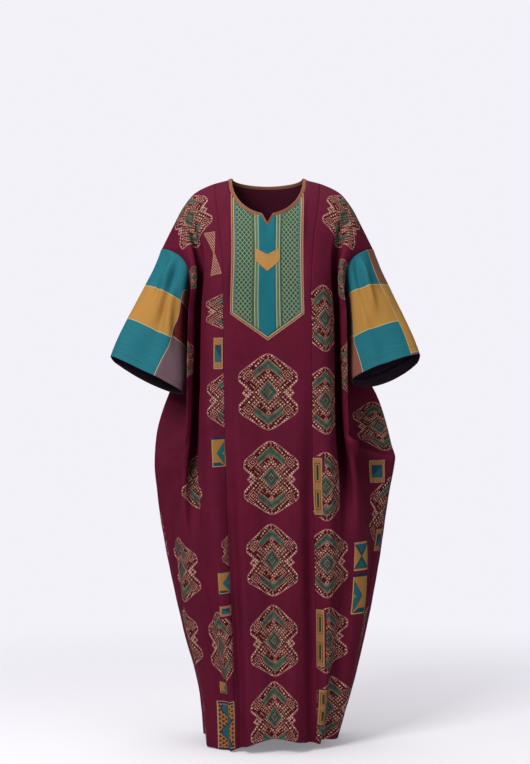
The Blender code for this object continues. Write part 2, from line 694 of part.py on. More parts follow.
def split(points, a, b, c, d):
    """A four-sided face as two triangles, along its shorter diagonal."""
    if np.linalg.norm(points[a] - points[c]) <= np.linalg.norm(points[b] - points[d]):
        return [(a, b, c), (a, c, d)]
    return [(a, b, d), (b, c, d)]


def mesh_from(name, points, faces):
    mesh = bpy.data.meshes.new(name)
    mesh.from_pydata(points.tolist(), [], faces)
    mesh.update()
    return mesh


def wall_mesh(name, outer, inner, turn, closed):
    """A closed solid between two grids. closed joins each row's end to its start."""
    rows, columns = outer.shape[:2]
    points = np.vstack([outer.reshape(-1, 3), inner.reshape(-1, 3)])
    layer = rows * columns
    last = columns if closed else columns - 1

    def at(i, j):
        return i * columns + j % columns

    faces = []
    for i in range(rows - 1):
        for j in range(last):
            pair = split(points, at(i, j), at(i + 1, j), at(i + 1, j + 1), at(i, j + 1))
            faces += pair
            faces += [tuple(corner + layer for corner in face[::-1]) for face in pair]
    rims = [(at(0, j), at(0, j + 1)) for j in range(last)]
    rims += [(at(rows - 1, j + 1), at(rows - 1, j)) for j in range(last)]
    if not closed:
        rims += [(at(i + 1, 0), at(i, 0)) for i in range(rows - 1)]
        rims += [(at(i, columns - 1), at(i + 1, columns - 1)) for i in range(rows - 1)]
    for a, b in rims:
        faces += split(points, a, b, b + layer, a + layer)
    if turn < 0:
        faces = [face[::-1] for face in faces]
    return mesh_from(name, points, faces)


def material(name):
    """A piece's own material."""
    finish = dict(zip(FINISH_COLUMNS, FINISHES[name]))
    made = bpy.data.materials.new(name + "_" + finish["slot"])
    made.use_nodes = True
    shader = made.node_tree.nodes["Principled BSDF"]
    shader.inputs["Base Color"].default_value = (*finish["colour"], 1.0)
    shader.inputs["Roughness"].default_value = finish["roughness"]
    shader.inputs["Metallic"].default_value = 0.0
    return made


def add_piece(collection, mesh):
    mesh.materials.append(material(mesh.name))
    mesh.shade_smooth()
    mesh.set_sharp_from_angle(angle=math.radians(50))
    collection.objects.link(bpy.data.objects.new(mesh.name, mesh))


def wall(collection, name, grid, normals, edges, turn=1, closed=False):
    """A piece of cloth whose outer face is a grid of the surface."""
    outer = trimmed(grid, edges)
    add_piece(collection, wall_mesh(name, outer, outer - normals * WALL, turn, closed))


def laid_on(collection, name, grid, normals, edges, lift):
    """A thin piece that lies on the cloth, lift above its outer face."""
    inner = trimmed(grid, edges) + normals * lift
    add_piece(collection, wall_mesh(name, inner + normals * BIB_THICK, inner, 1, False))


# ---------------------------------------------------------------- binding and bib

# The binding's outline, from the seam over its outside round to its inside: share of its width, height over
# the cloth's outer face.
BINDING_OUTLINE = (
    (0.06, BINDING_STANDS),
    (0.62, BINDING_STANDS),
    (0.96, 0.0),
    (0.96, -WALL),
    (0.62, -WALL - BINDING_STANDS),
    (0.06, -WALL - BINDING_STANDS),
)


def neck_binding(collection, seam, edge, normals):
    """The bias strip round the neck, lofted along the loop from the neck seam to the neck's own edge."""
    reach = edge - seam
    rows = [seam + share * reach + height * normals for share, height in BINDING_OUTLINE]
    count = len(seam)
    points = np.stack(rows, 1).reshape(-1, 3)
    around = len(BINDING_OUTLINE)
    faces = []
    for i in range(count):
        here, there = i * around, (i + 1) % count * around
        for k in range(around):
            after = (k + 1) % around
            faces += split(points, here + k, there + k, there + after, here + after)
    add_piece(collection, mesh_from("neck_binding", points, faces))


class Cloth:
    """The front centre panel's own points and directions, which whatever lies on it is made from."""

    def __init__(self, grid, normals, widths):
        self.grid, self.normals, self.widths = grid, normals, widths

    def rows_above(self, z):
        """How many rows of the grid lie above height z in every column."""
        return int((self.grid[:, :, 2].min(axis=1) > z).sum())

    def at(self, column, z):
        """The point and direction at height z in a column."""
        line, directions = self.grid[:, column], self.normals[:, column]
        row = int(np.clip(np.searchsorted(-line[:, 2], -z, side="right") - 1, 0, len(line) - 2))
        t = (line[row, 2] - z) / (line[row, 2] - line[row + 1, 2])
        direction = directions[row] + t * (directions[row + 1] - directions[row])
        return line[row] + t * (line[row + 1] - line[row]), direction / np.linalg.norm(direction)

    def columns_within(self, low, high):
        """The columns whose distance from the middle lies from low to high, ends included."""
        inside = (np.abs(self.widths) >= low - 1e-9) & (np.abs(self.widths) <= high + 1e-9)
        return inside.nonzero()[0]

    def patch(self, columns, top_row, ends):
        """A grid from top_row down to the height that ends gives for each column."""
        last = self.rows_above(max(ends) + 0.004)
        points = [self.grid[row, columns] for row in range(top_row, last)]
        directions = [self.normals[row, columns] for row in range(top_row, last)]
        low = [self.at(column, z) for column, z in zip(columns, ends)]
        points.append(np.array([point for point, _ in low]))
        directions.append(np.array([direction for _, direction in low]))
        return np.array(points), np.array(directions)


def point_height(width):
    """The height of the bib's lower edge, width metres from its middle."""
    return BIB_POINT_Z + (ARMPIT_Z - BIB_POINT_Z) * min(abs(width) / BIB_HALF, 1.0)


def bib_pieces(collection, cloth):
    """The bib and what is sewn on it."""
    columns = cloth.columns_within(0.0, BIB_HALF)
    ends = [point_height(cloth.widths[column]) for column in columns]
    laid_on(collection, "bib", *cloth.patch(columns, 0, ends), ("top",), LIFT)

    middle = cloth.columns_within(0.0, STRIP_HALF)
    beside = cloth.columns_within(STRIP_HALF, INNER_BRAID)
    for name, columns in (
        ("bib_strip", middle),
        ("bib_braid_right", beside[cloth.widths[beside] < 0]),
        ("bib_braid_left", beside[cloth.widths[beside] > 0]),
    ):
        ends = [point_height(cloth.widths[column]) + BORDER_FALL + 2 * SEAM_GAP for column in columns]
        laid_on(collection, name, *cloth.patch(columns, 0, ends), ("top", "first", "last"), OVER_BIB)
    laid_on(collection, "bib_border", *border_path(cloth), (), OVER_BIB)

    over_braid = cloth.columns_within(0.0, INNER_BRAID)
    levels = []
    for share in np.linspace(0.0, 1.0, CHEVRON_LEVELS):
        top = CHEVRON_TOP_Z + share * (CHEVRON_LOW_Z - CHEVRON_TOP_Z)
        drop = CHEVRON_TOP_FALL + share * (CHEVRON_LOW_FALL - CHEVRON_TOP_FALL)
        heights = top - (1.0 - np.abs(cloth.widths[over_braid]) / INNER_BRAID) * drop
        levels.append([cloth.at(column, z) for column, z in zip(over_braid, heights)])
    grid, normals = (np.array([[point[k] for point in level] for level in levels]) for k in (0, 1))
    laid_on(collection, "bib_chevron", grid, normals, (), OVER_BRAID)


def border_half(cloth, inward):
    """The border's outer and inner edges, in pairs, down one side and along the point to its tip. inward is 1
    from the first column or -1 from the last."""
    ordered = cloth.columns_within(0.0, BIB_HALF)[::inward]
    half = ordered[:len(ordered) // 2 + 1]
    outer = half[0]
    slanted = [column for column in half if abs(cloth.widths[column]) <= BORDER_INNER + 1e-9]
    inner = slanted[0]
    corner_z = point_height(BORDER_INNER) + BORDER_FALL
    rows = range(cloth.rows_above(corner_z + 0.006))
    lows = [point_height(cloth.widths[column]) for column in slanted]
    outside = [(cloth.grid[row, outer], cloth.normals[row, outer]) for row in rows]
    outside += [cloth.at(outer, ARMPIT_Z)]
    outside += [cloth.at(column, z) for column, z in zip(slanted, lows)]
    inside = [(cloth.grid[row, inner], cloth.normals[row, inner]) for row in rows]
    corner = cloth.at(inner, corner_z)
    after = [cloth.at(column, z + BORDER_FALL) for column, z in zip(slanted[1:], lows[1:])]
    beyond = tuple(0.8 * a + 0.2 * b for a, b in zip(corner, after[0]))
    inside += [corner, beyond] + after
    return list(zip(outside, inside))


def border_path(cloth):
    """The whole border, down one side, round the point and up the other."""
    pairs = border_half(cloth, 1) + border_half(cloth, -1)[-2::-1]
    return (np.array([[edge[k] for edge in pair] for pair in pairs]) for k in (0, 1))


def main():
    for leftover in list(bpy.data.objects):
        bpy.data.objects.remove(leftover)
    collection = bpy.data.collections.new("grand_boubou_robe")
    bpy.context.scene.collection.children.link(collection)

    front_places = ACROSS_SIDE + FRONT_MIDDLE
    back_places = ACROSS_SIDE + BACK_MIDDLE
    lower = np.concatenate([[0.0], np.linspace(FIRST_LOWER, 1.0, LOWER_ROWS)])
    front = body_panel("front", front_places, UPPER_ROWS, lower)
    back = body_panel("back", back_places, UPPER_ROWS, lower)
    sleeves = {side: sleeve(side, np.array(UPPER_ROWS), SLEEVE_ROWS) for side in (-1, 1)}

    shared = Shared()
    shared.add("body", front, 1.0)
    shared.add("body", back, 1.0)
    for side, grid in sleeves.items():
        shared.add("sleeve", grid, -side, closed=True)
    front_normals, back_normals = shared.at("body", front), shared.at("body", back)

    first = len(ACROSS_SIDE) - 1
    last = front.shape[1] - 1 - first
    seams = ("top", "first", "last")
    for name, columns in (
        ("front_side_right", slice(0, first + 1)),
        ("front_centre", slice(first, last + 1)),
        ("front_side_left", slice(last, None)),
    ):
        wall(collection, name, front[:, columns], front_normals[:, columns], seams)
    wall(collection, "back", back, back_normals, seams)
    for side, name in ((-1, "sleeve_right"), (1, "sleeve_left")):
        grid = sleeves[side]
        wall(collection, name, grid, shared.at("sleeve", grid), ("top",), turn=-side, closed=True)

    front_across, back_across = both_halves(np.array(front_places)), both_halves(np.array(back_places))
    loops = []
    for panel, grid, normals, across, places in (
        ("front", front, front_normals, front_across, front_places),
        ("back", back, back_normals, back_across, back_places),
    ):
        neck = (across >= 1.0 - 1e-9).nonzero()[0][:-1]
        sides = panel_sides(panel, places)
        edge = shoulder_and_neck(panel, across, np.where(sides == 0, 1.0, sides), edge=1.0)
        loops.append((grid[0, neck], edge[neck], normals[0, neck]))
    seam, edge, normals = (np.vstack(parts) for parts in zip(*loops))
    neck_binding(collection, seam, edge, normals)

    middle = (front_across >= 1.0 - 1e-9).nonzero()[0]
    half_widths = [PANEL_HALF * (6.0 - mark) for mark in np.interp(front_places, FRONT_PLACES, FRONT_MARKS)]
    widths = np.concatenate([-np.array(half_widths), half_widths[-2::-1]])
    bib_pieces(collection, Cloth(front[:, middle], front_normals[:, middle], widths[middle]))


main()
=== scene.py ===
"""The looks of the grand boubou robe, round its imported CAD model.

Metres, +Z up, the front facing -Y; right is the wearer's, at -X. The cloth is the CAD model's own surface,
drawn more finely. Patterns are drawn by shader nodes in the flat cloth's own coordinates.
"""

import math
from functools import partialmethod

import bmesh
import bpy
import numpy as np
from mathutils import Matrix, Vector, noise


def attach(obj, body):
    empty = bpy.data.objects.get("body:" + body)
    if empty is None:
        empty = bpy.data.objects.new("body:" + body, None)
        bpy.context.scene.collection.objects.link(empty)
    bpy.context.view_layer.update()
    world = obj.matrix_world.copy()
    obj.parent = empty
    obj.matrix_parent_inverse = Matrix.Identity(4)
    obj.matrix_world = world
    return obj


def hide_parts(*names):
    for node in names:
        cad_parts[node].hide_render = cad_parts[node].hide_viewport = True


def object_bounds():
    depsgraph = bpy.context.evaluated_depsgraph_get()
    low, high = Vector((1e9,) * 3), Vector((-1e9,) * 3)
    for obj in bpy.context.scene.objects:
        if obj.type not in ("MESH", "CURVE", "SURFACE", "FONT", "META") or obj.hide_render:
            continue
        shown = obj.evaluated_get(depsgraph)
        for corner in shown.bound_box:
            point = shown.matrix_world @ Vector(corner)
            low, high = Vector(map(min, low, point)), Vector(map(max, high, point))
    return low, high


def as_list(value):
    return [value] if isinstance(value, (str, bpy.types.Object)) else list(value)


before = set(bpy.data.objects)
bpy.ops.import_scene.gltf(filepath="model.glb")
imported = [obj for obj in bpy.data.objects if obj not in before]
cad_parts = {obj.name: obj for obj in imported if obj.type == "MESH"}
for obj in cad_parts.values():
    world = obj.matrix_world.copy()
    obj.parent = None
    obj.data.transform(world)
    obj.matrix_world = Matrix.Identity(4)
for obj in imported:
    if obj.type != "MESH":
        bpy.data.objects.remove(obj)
cad_low, cad_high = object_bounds()

# ---------------------------------------------------------------- colours

WINE = "#5a142b"
WINE_DARK = "#390a1a"
WINE_LIGHT = "#681a36"
WINE_RED = "#5e1422"
WINE_BACK = "#3c1524"
BRICK = "#441214"
PINK = "#bd8878"
PINK_LIGHT = "#d0a392"
TAN_LINE = "#a07456"
MOSS = "#41594c"
MOSS_DARK = "#243029"
NIGHT = "#221a1e"
TAN_FIELD = "#80583a"
GOLD_FIELD = "#8c6734"
GOLD_THREAD = "#a8824a"
PALE_LINE = "#b3a47b"
NAVY = "#1f2440"
INSET = "#1d545c"
INSET_DARK = "#183c48"
TEAL = "#1a6470"
TEAL_LIGHT = "#1f6d74"
TEAL_DARK = "#0f4a55"
GOLD = "#a67838"
GOLD_DARK = "#7d5422"
PLUM = "#6a5058"
BROWN = "#7a4a3c"
CHECK_SHADE = "#12303a"
CHECK_LIGHT = "#9fa48a"
CHECK_BACK = "#2a1f2e"
BIB_GREEN = "#41604f"
BIB_DARK = "#2c3f30"
BIB_BLUE = "#4c6f6e"
TRELLIS = "#93a284"
BRAID_CREAM = "#a39a72"
BRAID_GREEN = "#5f7f68"
BORDER_PINK = "#b5806a"
BORDER_RED = "#5c2420"
BINDING_BROWN = "#8d5f48"
BINDING_DARK = "#5f3b2c"
CHEVRON_GOLD = "#9c703c"
CHEVRON_LIGHT = "#c49a5c"

# ---------------------------------------------------------------- the print's sizes

SOFT_EDGE = 0.0003
WEAVE = 0.0011            # repeats of the weave, the medallion's dashes and all beads
DASHES = 0.0084
BEADS = 0.0070
DIAGONAL = 0.7071
MEDALLION_HALF_WIDE = 0.073
MEDALLION_HALF_LONG = 0.095
MEDALLION_SLOPE = 0.70    # of its ends, with that line's unit and how far out it lies
MEDALLION_SLOPE_UNIT = 0.819
MEDALLION_END = 0.0820
WAIST = 0.0435            # where its sides pinch in, and the tips in that pinch
TIP_PLACE = 0.054
TIP_HALF = 0.011

# ---------------------------------------------------------------- the body's sizes

WALL = 0.002
ARMPIT_Z = -0.350
PANEL_HALF = 0.115        # the centre panel, along the cloth
NECK_HALF = 0.0990        # the neck seam; the binding's edge lies BINDING inside it
NECK_FRONT_DROP = 0.1040
NECK_FRONT_REACH = 0.088
NECK_BACK_DROP = 0.020
NECK_BACK_REACH = 0.064
NOTCH_HALF = 0.0165
NOTCH_DROP = 0.0256
BINDING = 0.0075
NOTCH_BINDING = 0.0045
BINDING_STANDS = 0.0008   # over the cloth, on both faces

# The shoulder seam, as (x, z), and the armhole down to the armpit, as (share, x, front's y, back's y, z).
SHOULDER = (
    (0.270, -0.178), (0.242, -0.122), (0.214, -0.070), (0.188, -0.038), (0.145, -0.015), (NECK_HALF, -0.002),
)
ARMHOLE = (
    (0.00, 0.270, 0.000, 0.000, -0.178),
    (0.20, 0.246, -0.046, 0.044, -0.186),
    (0.36, 0.220, -0.068, 0.064, -0.202),
    (0.52, 0.201, -0.076, 0.070, -0.228),
    (0.76, 0.196, -0.050, 0.046, -0.290),
    (1.00, 0.193, 0.006, 0.006, ARMPIT_Z),
)

# Places across a panel run from 0 at its side to 1 at the neck and 2 in its middle. Marks number the points
# that each level section of the body passes through, from the panel's side.
NECK_SHARE = (PANEL_HALF - NECK_HALF) / PANEL_HALF
MARKS = {
    "front": ((0.0, 0.20, 0.38, 0.50, 0.64, 0.86, 1.0, 2.0), (0, 1, 2, 3, 4, 5, 5 + NECK_SHARE, 6)),
    "back": ((0.0, 0.38, 0.64, 0.86, 1.0, 2.0), (0, 1, 2, 3, 3 + NECK_SHARE, 4)),
}

# A row across each panel at chest height, as (place, x, y, z), and where it meets the armhole.
CHEST_SHARE = 0.52
CHEST_ROWS = {
    "front": (
        (0.2, 0.196, -0.09, -0.226), (0.38, 0.186, -0.098, -0.222), (0.5, 0.171, -0.078, -0.214),
        (0.64, 0.149, -0.099, -0.206), (0.86, 0.113, -0.112, -0.199), (1.0, 0.097, -0.114, -0.197),
        (2.0, 0.0, -0.118, -0.204),
    ),
    "back": (
        (0.38, 0.171, 0.094, -0.222), (0.64, 0.143, 0.106, -0.206), (0.86, 0.114, 0.112, -0.196),
        (1.0, 0.098, 0.114, -0.19), (2.0, 0.0, 0.112, -0.178),
    ),
}

# Level sections of the body. front and back are the depths of its middle, seam and torso the half widths of
# the centre panel and of what hangs from the chest. A hollow, valley deep, and a fold, strip deep, part that
# from the wide sides, with their tips at wing_right, wing_left and wing_y. parted is how much of it shows: at
# 0 the section is a plain oval. lean moves the middle to the wearer's left.
SECTION_COLUMNS = (
    "z", "front", "back", "seam", "torso", "valley", "strip", "parted",
    "wing_right", "wing_left", "wing_y", "lean",
)
SECTIONS = (
    (ARMPIT_Z, 0.13, 0.116, 0.11, 0.184, 0.048, 0.096, 1.0, 0.194, 0.194, 0.006, 0.0),
    (-0.4, 0.133, 0.119, 0.11, 0.185, 0.042, 0.098, 1.0, 0.194, 0.195, 0.036, 0.001),
    (-0.46, 0.135, 0.122, 0.11, 0.186, 0.04, 0.098, 1.0, 0.216, 0.224, 0.062, 0.001),
    (-0.54, 0.138, 0.125, 0.11, 0.187, 0.04, 0.094, 1.0, 0.252, 0.278, 0.066, 0.002),
    (-0.64, 0.141, 0.128, 0.11, 0.188, 0.044, 0.088, 0.94, 0.284, 0.312, 0.054, 0.003),
    (-0.685, 0.143, 0.129, 0.11, 0.188, 0.048, 0.086, 0.835, 0.289, 0.3225, 0.047, 0.004),
    (-0.71, 0.143, 0.13, 0.109, 0.188, 0.05, 0.084, 0.763, 0.29, 0.33, 0.042, 0.005),
    (-0.735, 0.144, 0.13, 0.109, 0.188, 0.053, 0.084, 0.691, 0.29, 0.3265, 0.039, 0.005),
    (-0.79, 0.146, 0.131, 0.108, 0.186, 0.06, 0.083, 0.516, 0.283, 0.315, 0.031, 0.006),
    (-0.85, 0.148, 0.133, 0.108, 0.184, 0.068, 0.084, 0.34, 0.273, 0.303, 0.024, 0.008),
    (-1.0, 0.152, 0.138, 0.106, 0.177, 0.09, 0.092, 0.1, 0.243, 0.276, 0.012, 0.013),
    (-1.15, 0.156, 0.142, 0.104, 0.167, 0.1, 0.098, 0.02, 0.208, 0.246, 0.004, 0.018),
    (-1.3, 0.16, 0.148, 0.102, 0.153, 0.1, 0.098, 0.0, 0.167, 0.208, 0.0, 0.022),
    (-1.44, 0.16, 0.15, 0.102, 0.141, 0.1, 0.096, 0.0, 0.153, 0.162, 0.0, 0.022),
)
OVAL_POWER = 0.86         # 1 is an ellipse; less is squarer

# The hem's height at marks across each panel, on the right and left. The last row is the other half's own, so
# that the edge runs level through the middle.
HEM = {
    "front": (
        (0, -1.420, -1.396), (2, -1.428, -1.408), (4, -1.430, -1.414),
        (5, -1.424, -1.415), (6, -1.395, -1.395), (7, -1.424, -1.415),
    ),
    "back": (
        (0, -1.420, -1.396), (2, -1.420, -1.412), (3, -1.424, -1.420),
        (4, -1.412, -1.412), (5, -1.424, -1.420),
    ),
}

# Hanging folds: the places of their tops and lower ends, those heights, their widths and depths outward.
FOLDS = {
    ("front", -1): (
        (0.86, 0.92, -0.28, -1.46, 0.022, -0.01), (0.72, 0.76, -0.42, -1.46, 0.02, 0.012),
        (1.45, 1.35, -0.46, -1.4, 0.03, 0.01), (0.5, 0.62, -0.95, -1.46, 0.016, -0.014),
        (0.3, 0.3, -0.95, -1.46, 0.018, 0.012), (0.1, 0.12, -0.62, -1.46, 0.022, -0.012),
    ),
    ("front", 1): (
        (0.86, 0.86, -0.28, -1.46, 0.02, -0.012), (0.7, 0.72, -0.46, -1.46, 0.02, 0.014),
        (1.4, 1.5, -0.52, -1.46, 0.028, 0.01), (0.48, 0.56, -0.92, -1.46, 0.018, -0.014),
        (0.28, 0.32, -0.78, -1.46, 0.02, 0.014), (0.1, 0.12, -0.76, -1.46, 0.02, -0.01),
    ),
    ("back", -1): (
        (0.2, 0.24, -0.56, -1.46, 0.024, 0.014), (0.42, 0.46, -0.3, -1.46, 0.024, -0.014),
        (0.64, 0.66, -0.22, -1.46, 0.022, 0.018), (0.86, 0.88, -0.26, -1.46, 0.026, -0.014),
        (1.35, 1.3, -0.34, -1.46, 0.024, 0.012), (1.8, 1.72, -0.5, -1.46, 0.022, -0.01),
    ),
    ("back", 1): (
        (0.18, 0.22, -0.6, -1.46, 0.024, 0.014), (0.4, 0.44, -0.32, -1.46, 0.024, -0.015),
        (0.62, 0.66, -0.24, -1.46, 0.022, 0.018), (0.88, 0.88, -0.28, -1.46, 0.026, -0.014),
        (1.4, 1.4, -0.36, -1.46, 0.026, 0.013),
    ),
}

# Smaller creases, in the same columns.
CREASES = {
    ("front", -1): (
        (1.62, 1.7, -0.5, -1.44, 0.016, 0.0035), (1.22, 1.16, -0.44, -1.1, 0.014, 0.004),
        (0.96, 1.04, -0.62, -1.7, 0.012, -0.004), (0.8, 0.83, -0.55, -1.3, 0.011, 0.0045),
        (0.68, 0.66, -0.9, -1.7, 0.01, -0.0045), (0.56, 0.6, -0.36, -0.86, 0.01, 0.004),
        (0.4, 0.44, -0.8, -1.38, 0.011, 0.005), (0.22, 0.2, -0.9, -1.7, 0.012, 0.005),
        (0.5, 0.52, 0.02, -0.84, 0.011, -0.03), (0.59, 0.6, 0.02, -0.8, 0.009, 0.006),
        (0.42, 0.43, 0.02, -0.8, 0.009, 0.005), (0.44, 0.46, -0.42, -0.9, 0.01, -0.01),
        (1.06, 1.09, -0.52, -1.7, 0.012, -0.0075), (1.2, 1.23, -0.66, -1.7, 0.016, 0.006),
        (1.86, 1.92, -0.78, -1.7, 0.02, -0.005),
    ),
    ("front", 1): (
        (0.5, 0.52, 0.02, -0.84, 0.011, -0.03), (0.59, 0.6, 0.02, -0.8, 0.009, 0.006),
        (0.42, 0.43, 0.02, -0.8, 0.009, 0.005), (0.44, 0.46, -0.4, -0.86, 0.01, -0.009),
        (1.08, 1.12, -0.6, -1.7, 0.012, -0.007), (1.66, 1.58, -0.9, -1.7, 0.022, 0.006),
        (1.7, 1.6, -0.58, -1.7, 0.015, 0.0035), (1.2, 1.25, -0.48, -1.22, 0.014, 0.0035),
        (0.97, 0.93, -0.56, -1.7, 0.012, -0.004), (0.79, 0.8, -0.62, -1.4, 0.011, 0.0045),
        (0.62, 0.64, -0.84, -1.7, 0.01, -0.0045), (0.55, 0.58, -0.38, -0.92, 0.01, 0.0035),
        (0.38, 0.41, -0.88, -1.42, 0.011, 0.005), (0.2, 0.22, -0.94, -1.7, 0.012, 0.005),
    ),
    ("back", -1): (
        (0.3, 0.33, -0.66, -1.7, 0.012, 0.005), (0.53, 0.55, -0.36, -1.3, 0.012, -0.0045),
        (0.75, 0.77, -0.3, -1.7, 0.013, 0.0045), (1.08, 1.02, -0.34, -1.4, 0.013, -0.005),
        (1.58, 1.5, -0.42, -1.7, 0.014, 0.005),
    ),
    ("back", 1): (
        (0.29, 0.31, -0.72, -1.7, 0.012, 0.005), (0.52, 0.56, -0.34, -1.36, 0.012, -0.0045),
        (0.76, 0.75, -0.28, -1.7, 0.013, 0.0045), (1.12, 1.1, -0.36, -1.7, 0.013, -0.005),
        (1.62, 1.66, -0.46, -1.7, 0.014, 0.0045),
    ),
}

# Swags and drag lines across a panel: the places of their two ends, those heights, the sag, width and depth.
SWAGS = {
    ("front", -1): (
        (0.4, 0.03, -0.7, -0.735, 0.014, 0.024, 0.014), (1.55, 1.05, -0.47, -0.455, 0.004, 0.01, -0.002),
        (0.84, 0.58, -0.62, -0.655, 0.006, 0.01, -0.0035), (0.8, 0.5, -1.12, -1.155, 0.006, 0.012, 0.004),
        (0.36, 0.06, -0.93, -0.955, 0.008, 0.012, -0.0045),
        (0.46, 0.04, -0.655, -0.705, 0.012, 0.011, -0.008),
    ),
    ("front", 1): (
        (0.44, 0.02, -0.655, -0.69, 0.012, 0.022, 0.024), (1.95, 1.1, -1.215, -1.255, 0.01, 0.011, 0.004),
        (0.44, -0.06, -0.64, -0.712, 0.0, 0.012, -0.024), (0.4, -0.1, -0.692, -0.73, 0.0, 0.01, 0.008),
        (0.84, 0.56, -0.7, -0.73, 0.006, 0.011, -0.0035), (0.4, 0.06, -0.84, -0.88, 0.01, 0.012, -0.005),
        (0.7, 0.4, -1.18, -1.2, 0.006, 0.012, 0.004),
    ),
    ("back", -1): (
        (1.9, 1.0, -0.64, -0.62, 0.012, 0.014, -0.0035), (0.6, 0.2, -0.9, -0.93, 0.01, 0.013, -0.0045),
    ),
    ("back", 1): (
        (1.8, 0.9, -0.86, -0.88, 0.012, 0.014, 0.0035), (0.62, 0.22, -0.76, -0.8, 0.01, 0.013, -0.0045),
        (0.9, 0.4, -1.22, -1.24, 0.008, 0.012, 0.004),
    ),
}

# The cuffs: the x and z of the opening's outer and inner corners, half its depth, its y, and how much lower
# its back edge hangs.
CUFFS = {
    -1: (0.394, -0.454, 0.212, -0.543, 0.050, -0.066, 0.022),
    1: (0.384, -0.452, 0.212, -0.512, 0.056, -0.066, 0.040),
}

# Sleeve folds: how far round they start and end (0 on top, 0.25 on the front), how far along, the width and
# the depth outward.
SLEEVE_FOLDS = {
    -1: (
        (0.15, 0.33, 0.0, 0.8, 0.016, 0.012), (0.3, 0.2, 0.1, 1.2, 0.026, -0.008),
        (0.72, 0.66, 0.0, 1.0, 0.022, 0.01), (0.86, 0.84, 0.2, 1.1, 0.024, -0.006),
        (0.17, 0.21, -0.02, 0.62, 0.008, 0.008), (0.205, 0.25, -0.02, 0.7, 0.008, -0.012),
        (0.14, 0.16, -0.02, 0.5, 0.006, -0.008), (0.105, 0.11, -0.02, 0.42, 0.006, -0.006),
        (0.27, 0.3, 0.25, 1.15, 0.014, 0.005), (0.08, 0.1, 0.45, 1.25, 0.018, 0.003),
        (0.62, 0.58, 0.1, 0.9, 0.012, 0.005), (0.79, 0.77, 0.05, 0.85, 0.012, -0.0045),
        (0.92, 0.93, 0.3, 1.2, 0.014, 0.0035),
    ),
    1: (
        (0.16, 0.3, 0.0, 0.7, 0.018, 0.01), (0.3, 0.22, 0.15, 1.2, 0.026, -0.007),
        (0.7, 0.66, 0.0, 1.0, 0.022, 0.01), (0.86, 0.82, 0.2, 1.1, 0.024, -0.006),
        (0.18, 0.22, -0.02, 0.6, 0.008, 0.008), (0.22, 0.27, -0.02, 0.66, 0.009, -0.01),
        (0.12, 0.12, 0.05, 0.5, 0.011, -0.003), (0.27, 0.31, 0.3, 1.15, 0.014, 0.0045),
        (0.07, 0.09, 0.5, 1.25, 0.018, 0.003), (0.63, 0.6, 0.1, 0.95, 0.012, 0.005),
        (0.78, 0.76, 0.05, 0.9, 0.012, -0.0045), (0.92, 0.94, 0.25, 1.2, 0.014, 0.0035),
    ),
}

# ---------------------------------------------------------------- how finely the cloth is drawn

CLOTH = 0.0009
SEAM_SINK = 0.0012
SEAM_REACH = 0.0030
CRUMPLE = 0.0009          # the height and size of the cloth's faint unevenness
CRUMPLE_SIZE = 0.045
BODY_HEM = 0.024
CUFF_HEM = 0.018
HEM_CLEAR = 0.0004        # air between a hem's two layers

# The CAD model's own places across a panel, and its rows above the armpits.
ACROSS_SIDE = (0.0, 0.07, 0.135, 0.20, 0.29, 0.38, 0.42, 0.46, 0.50, 0.545, 0.59, 0.64, 0.75, 0.86)
UPPER_ROWS = (0.0, 0.08, 0.17, 0.27, 0.38, CHEST_SHARE, 0.62, 0.74, 0.87, 1.0)
SIDE_STEPS = 4            # parts that each gap in ACROSS_SIDE is cut into
SIDE_GAP = 0.0230         # the cloth between its last two
MORE_COLUMNS = (0.1080, 0.1035, NECK_HALF)
NECK_TURN = 0.0968        # where the neck's line turns sharply
MIDDLE_STEP = 0.0046
UPPER = (0.380, 0.0062)   # the columns' length and the rows' distance, above and below the armpits
LOWER = (1.080, 0.0066)
ALONG = (0.330, 0.0062)   # the same along a sleeve
NEAR_EDGE = (0.0014, 0.0036)
WELD = 0.000001
LEAST_FALL = 0.2          # the least share of a step that goes down the flat cloth
EVEN_REACH = 12           # how many rows or columns the flat cloth's lengths are evened over
LEVEL_STEP = 0.006
ARMPIT_STEP = 0.004
SIDES = {-1: "right", 1: "left"}
FOLD_START = 0.45         # the share of a hanging fold over which it deepens
CREASE_END = (0.85, 1.10)         # the shares between which a crease fades out
SWAG_FADE = 0.3           # the share at each end over which a swag, or a sleeve's fold, fades
SLEEVE_FADE = 0.35
CALM_SIDE = 0.10          # how far from a panel's side, and how far down its top, all folds come in
CALM_TOP = 0.5
CALM_START = 0.2          # how far along a sleeve its unevenness comes in

# ---------------------------------------------------------------- the sizes of the sewn work

BIB_HALF = 0.0925
BIB_POINT_Z = -0.417      # the bib's sides end level with the armpits, and its point lies here
BIB_RISE = (ARMPIT_Z - BIB_POINT_Z) / BIB_HALF
POINT_SLOPE = math.hypot(1.0, BIB_RISE)
STRIP_HALF = 0.0215
INNER_BRAID = 0.0330      # the outer edge of the braid beside the strip
BORDER_INNER = 0.0835
BORDER_FALL = 0.0125      # the border's width along the point, measured straight down
CHEVRON_Z = (-0.186, -0.217)      # its upper and lower edge at its ends, and how far they fall to the middle
CHEVRON_FALL = (0.016, 0.027)
CHEVRON_INSET = 0.0010    # the cord inside the chevron's ends, and its shares of the way down
CHEVRON_SHARES = (0.035, 0.965)
BIB_LIFT = 0.0003
BIB_SHELL = 0.0007
ON_BIB = BIB_LIFT + BIB_SHELL + 0.0001
BRAID_HEIGHT = 0.0011
ON_BRAID = ON_BIB + BRAID_HEIGHT - 0.0001
CHEVRON_THICK = 0.0006
TRELLIS_INNER = 0.0375
TRELLIS_OUTER = 0.0780
TRELLIS_WIDE = 0.0111
TRELLIS_TALL = 0.0132
TRELLIS_START = BIB_POINT_Z - TRELLIS_TALL * round(TRELLIS_OUTER / TRELLIS_WIDE)
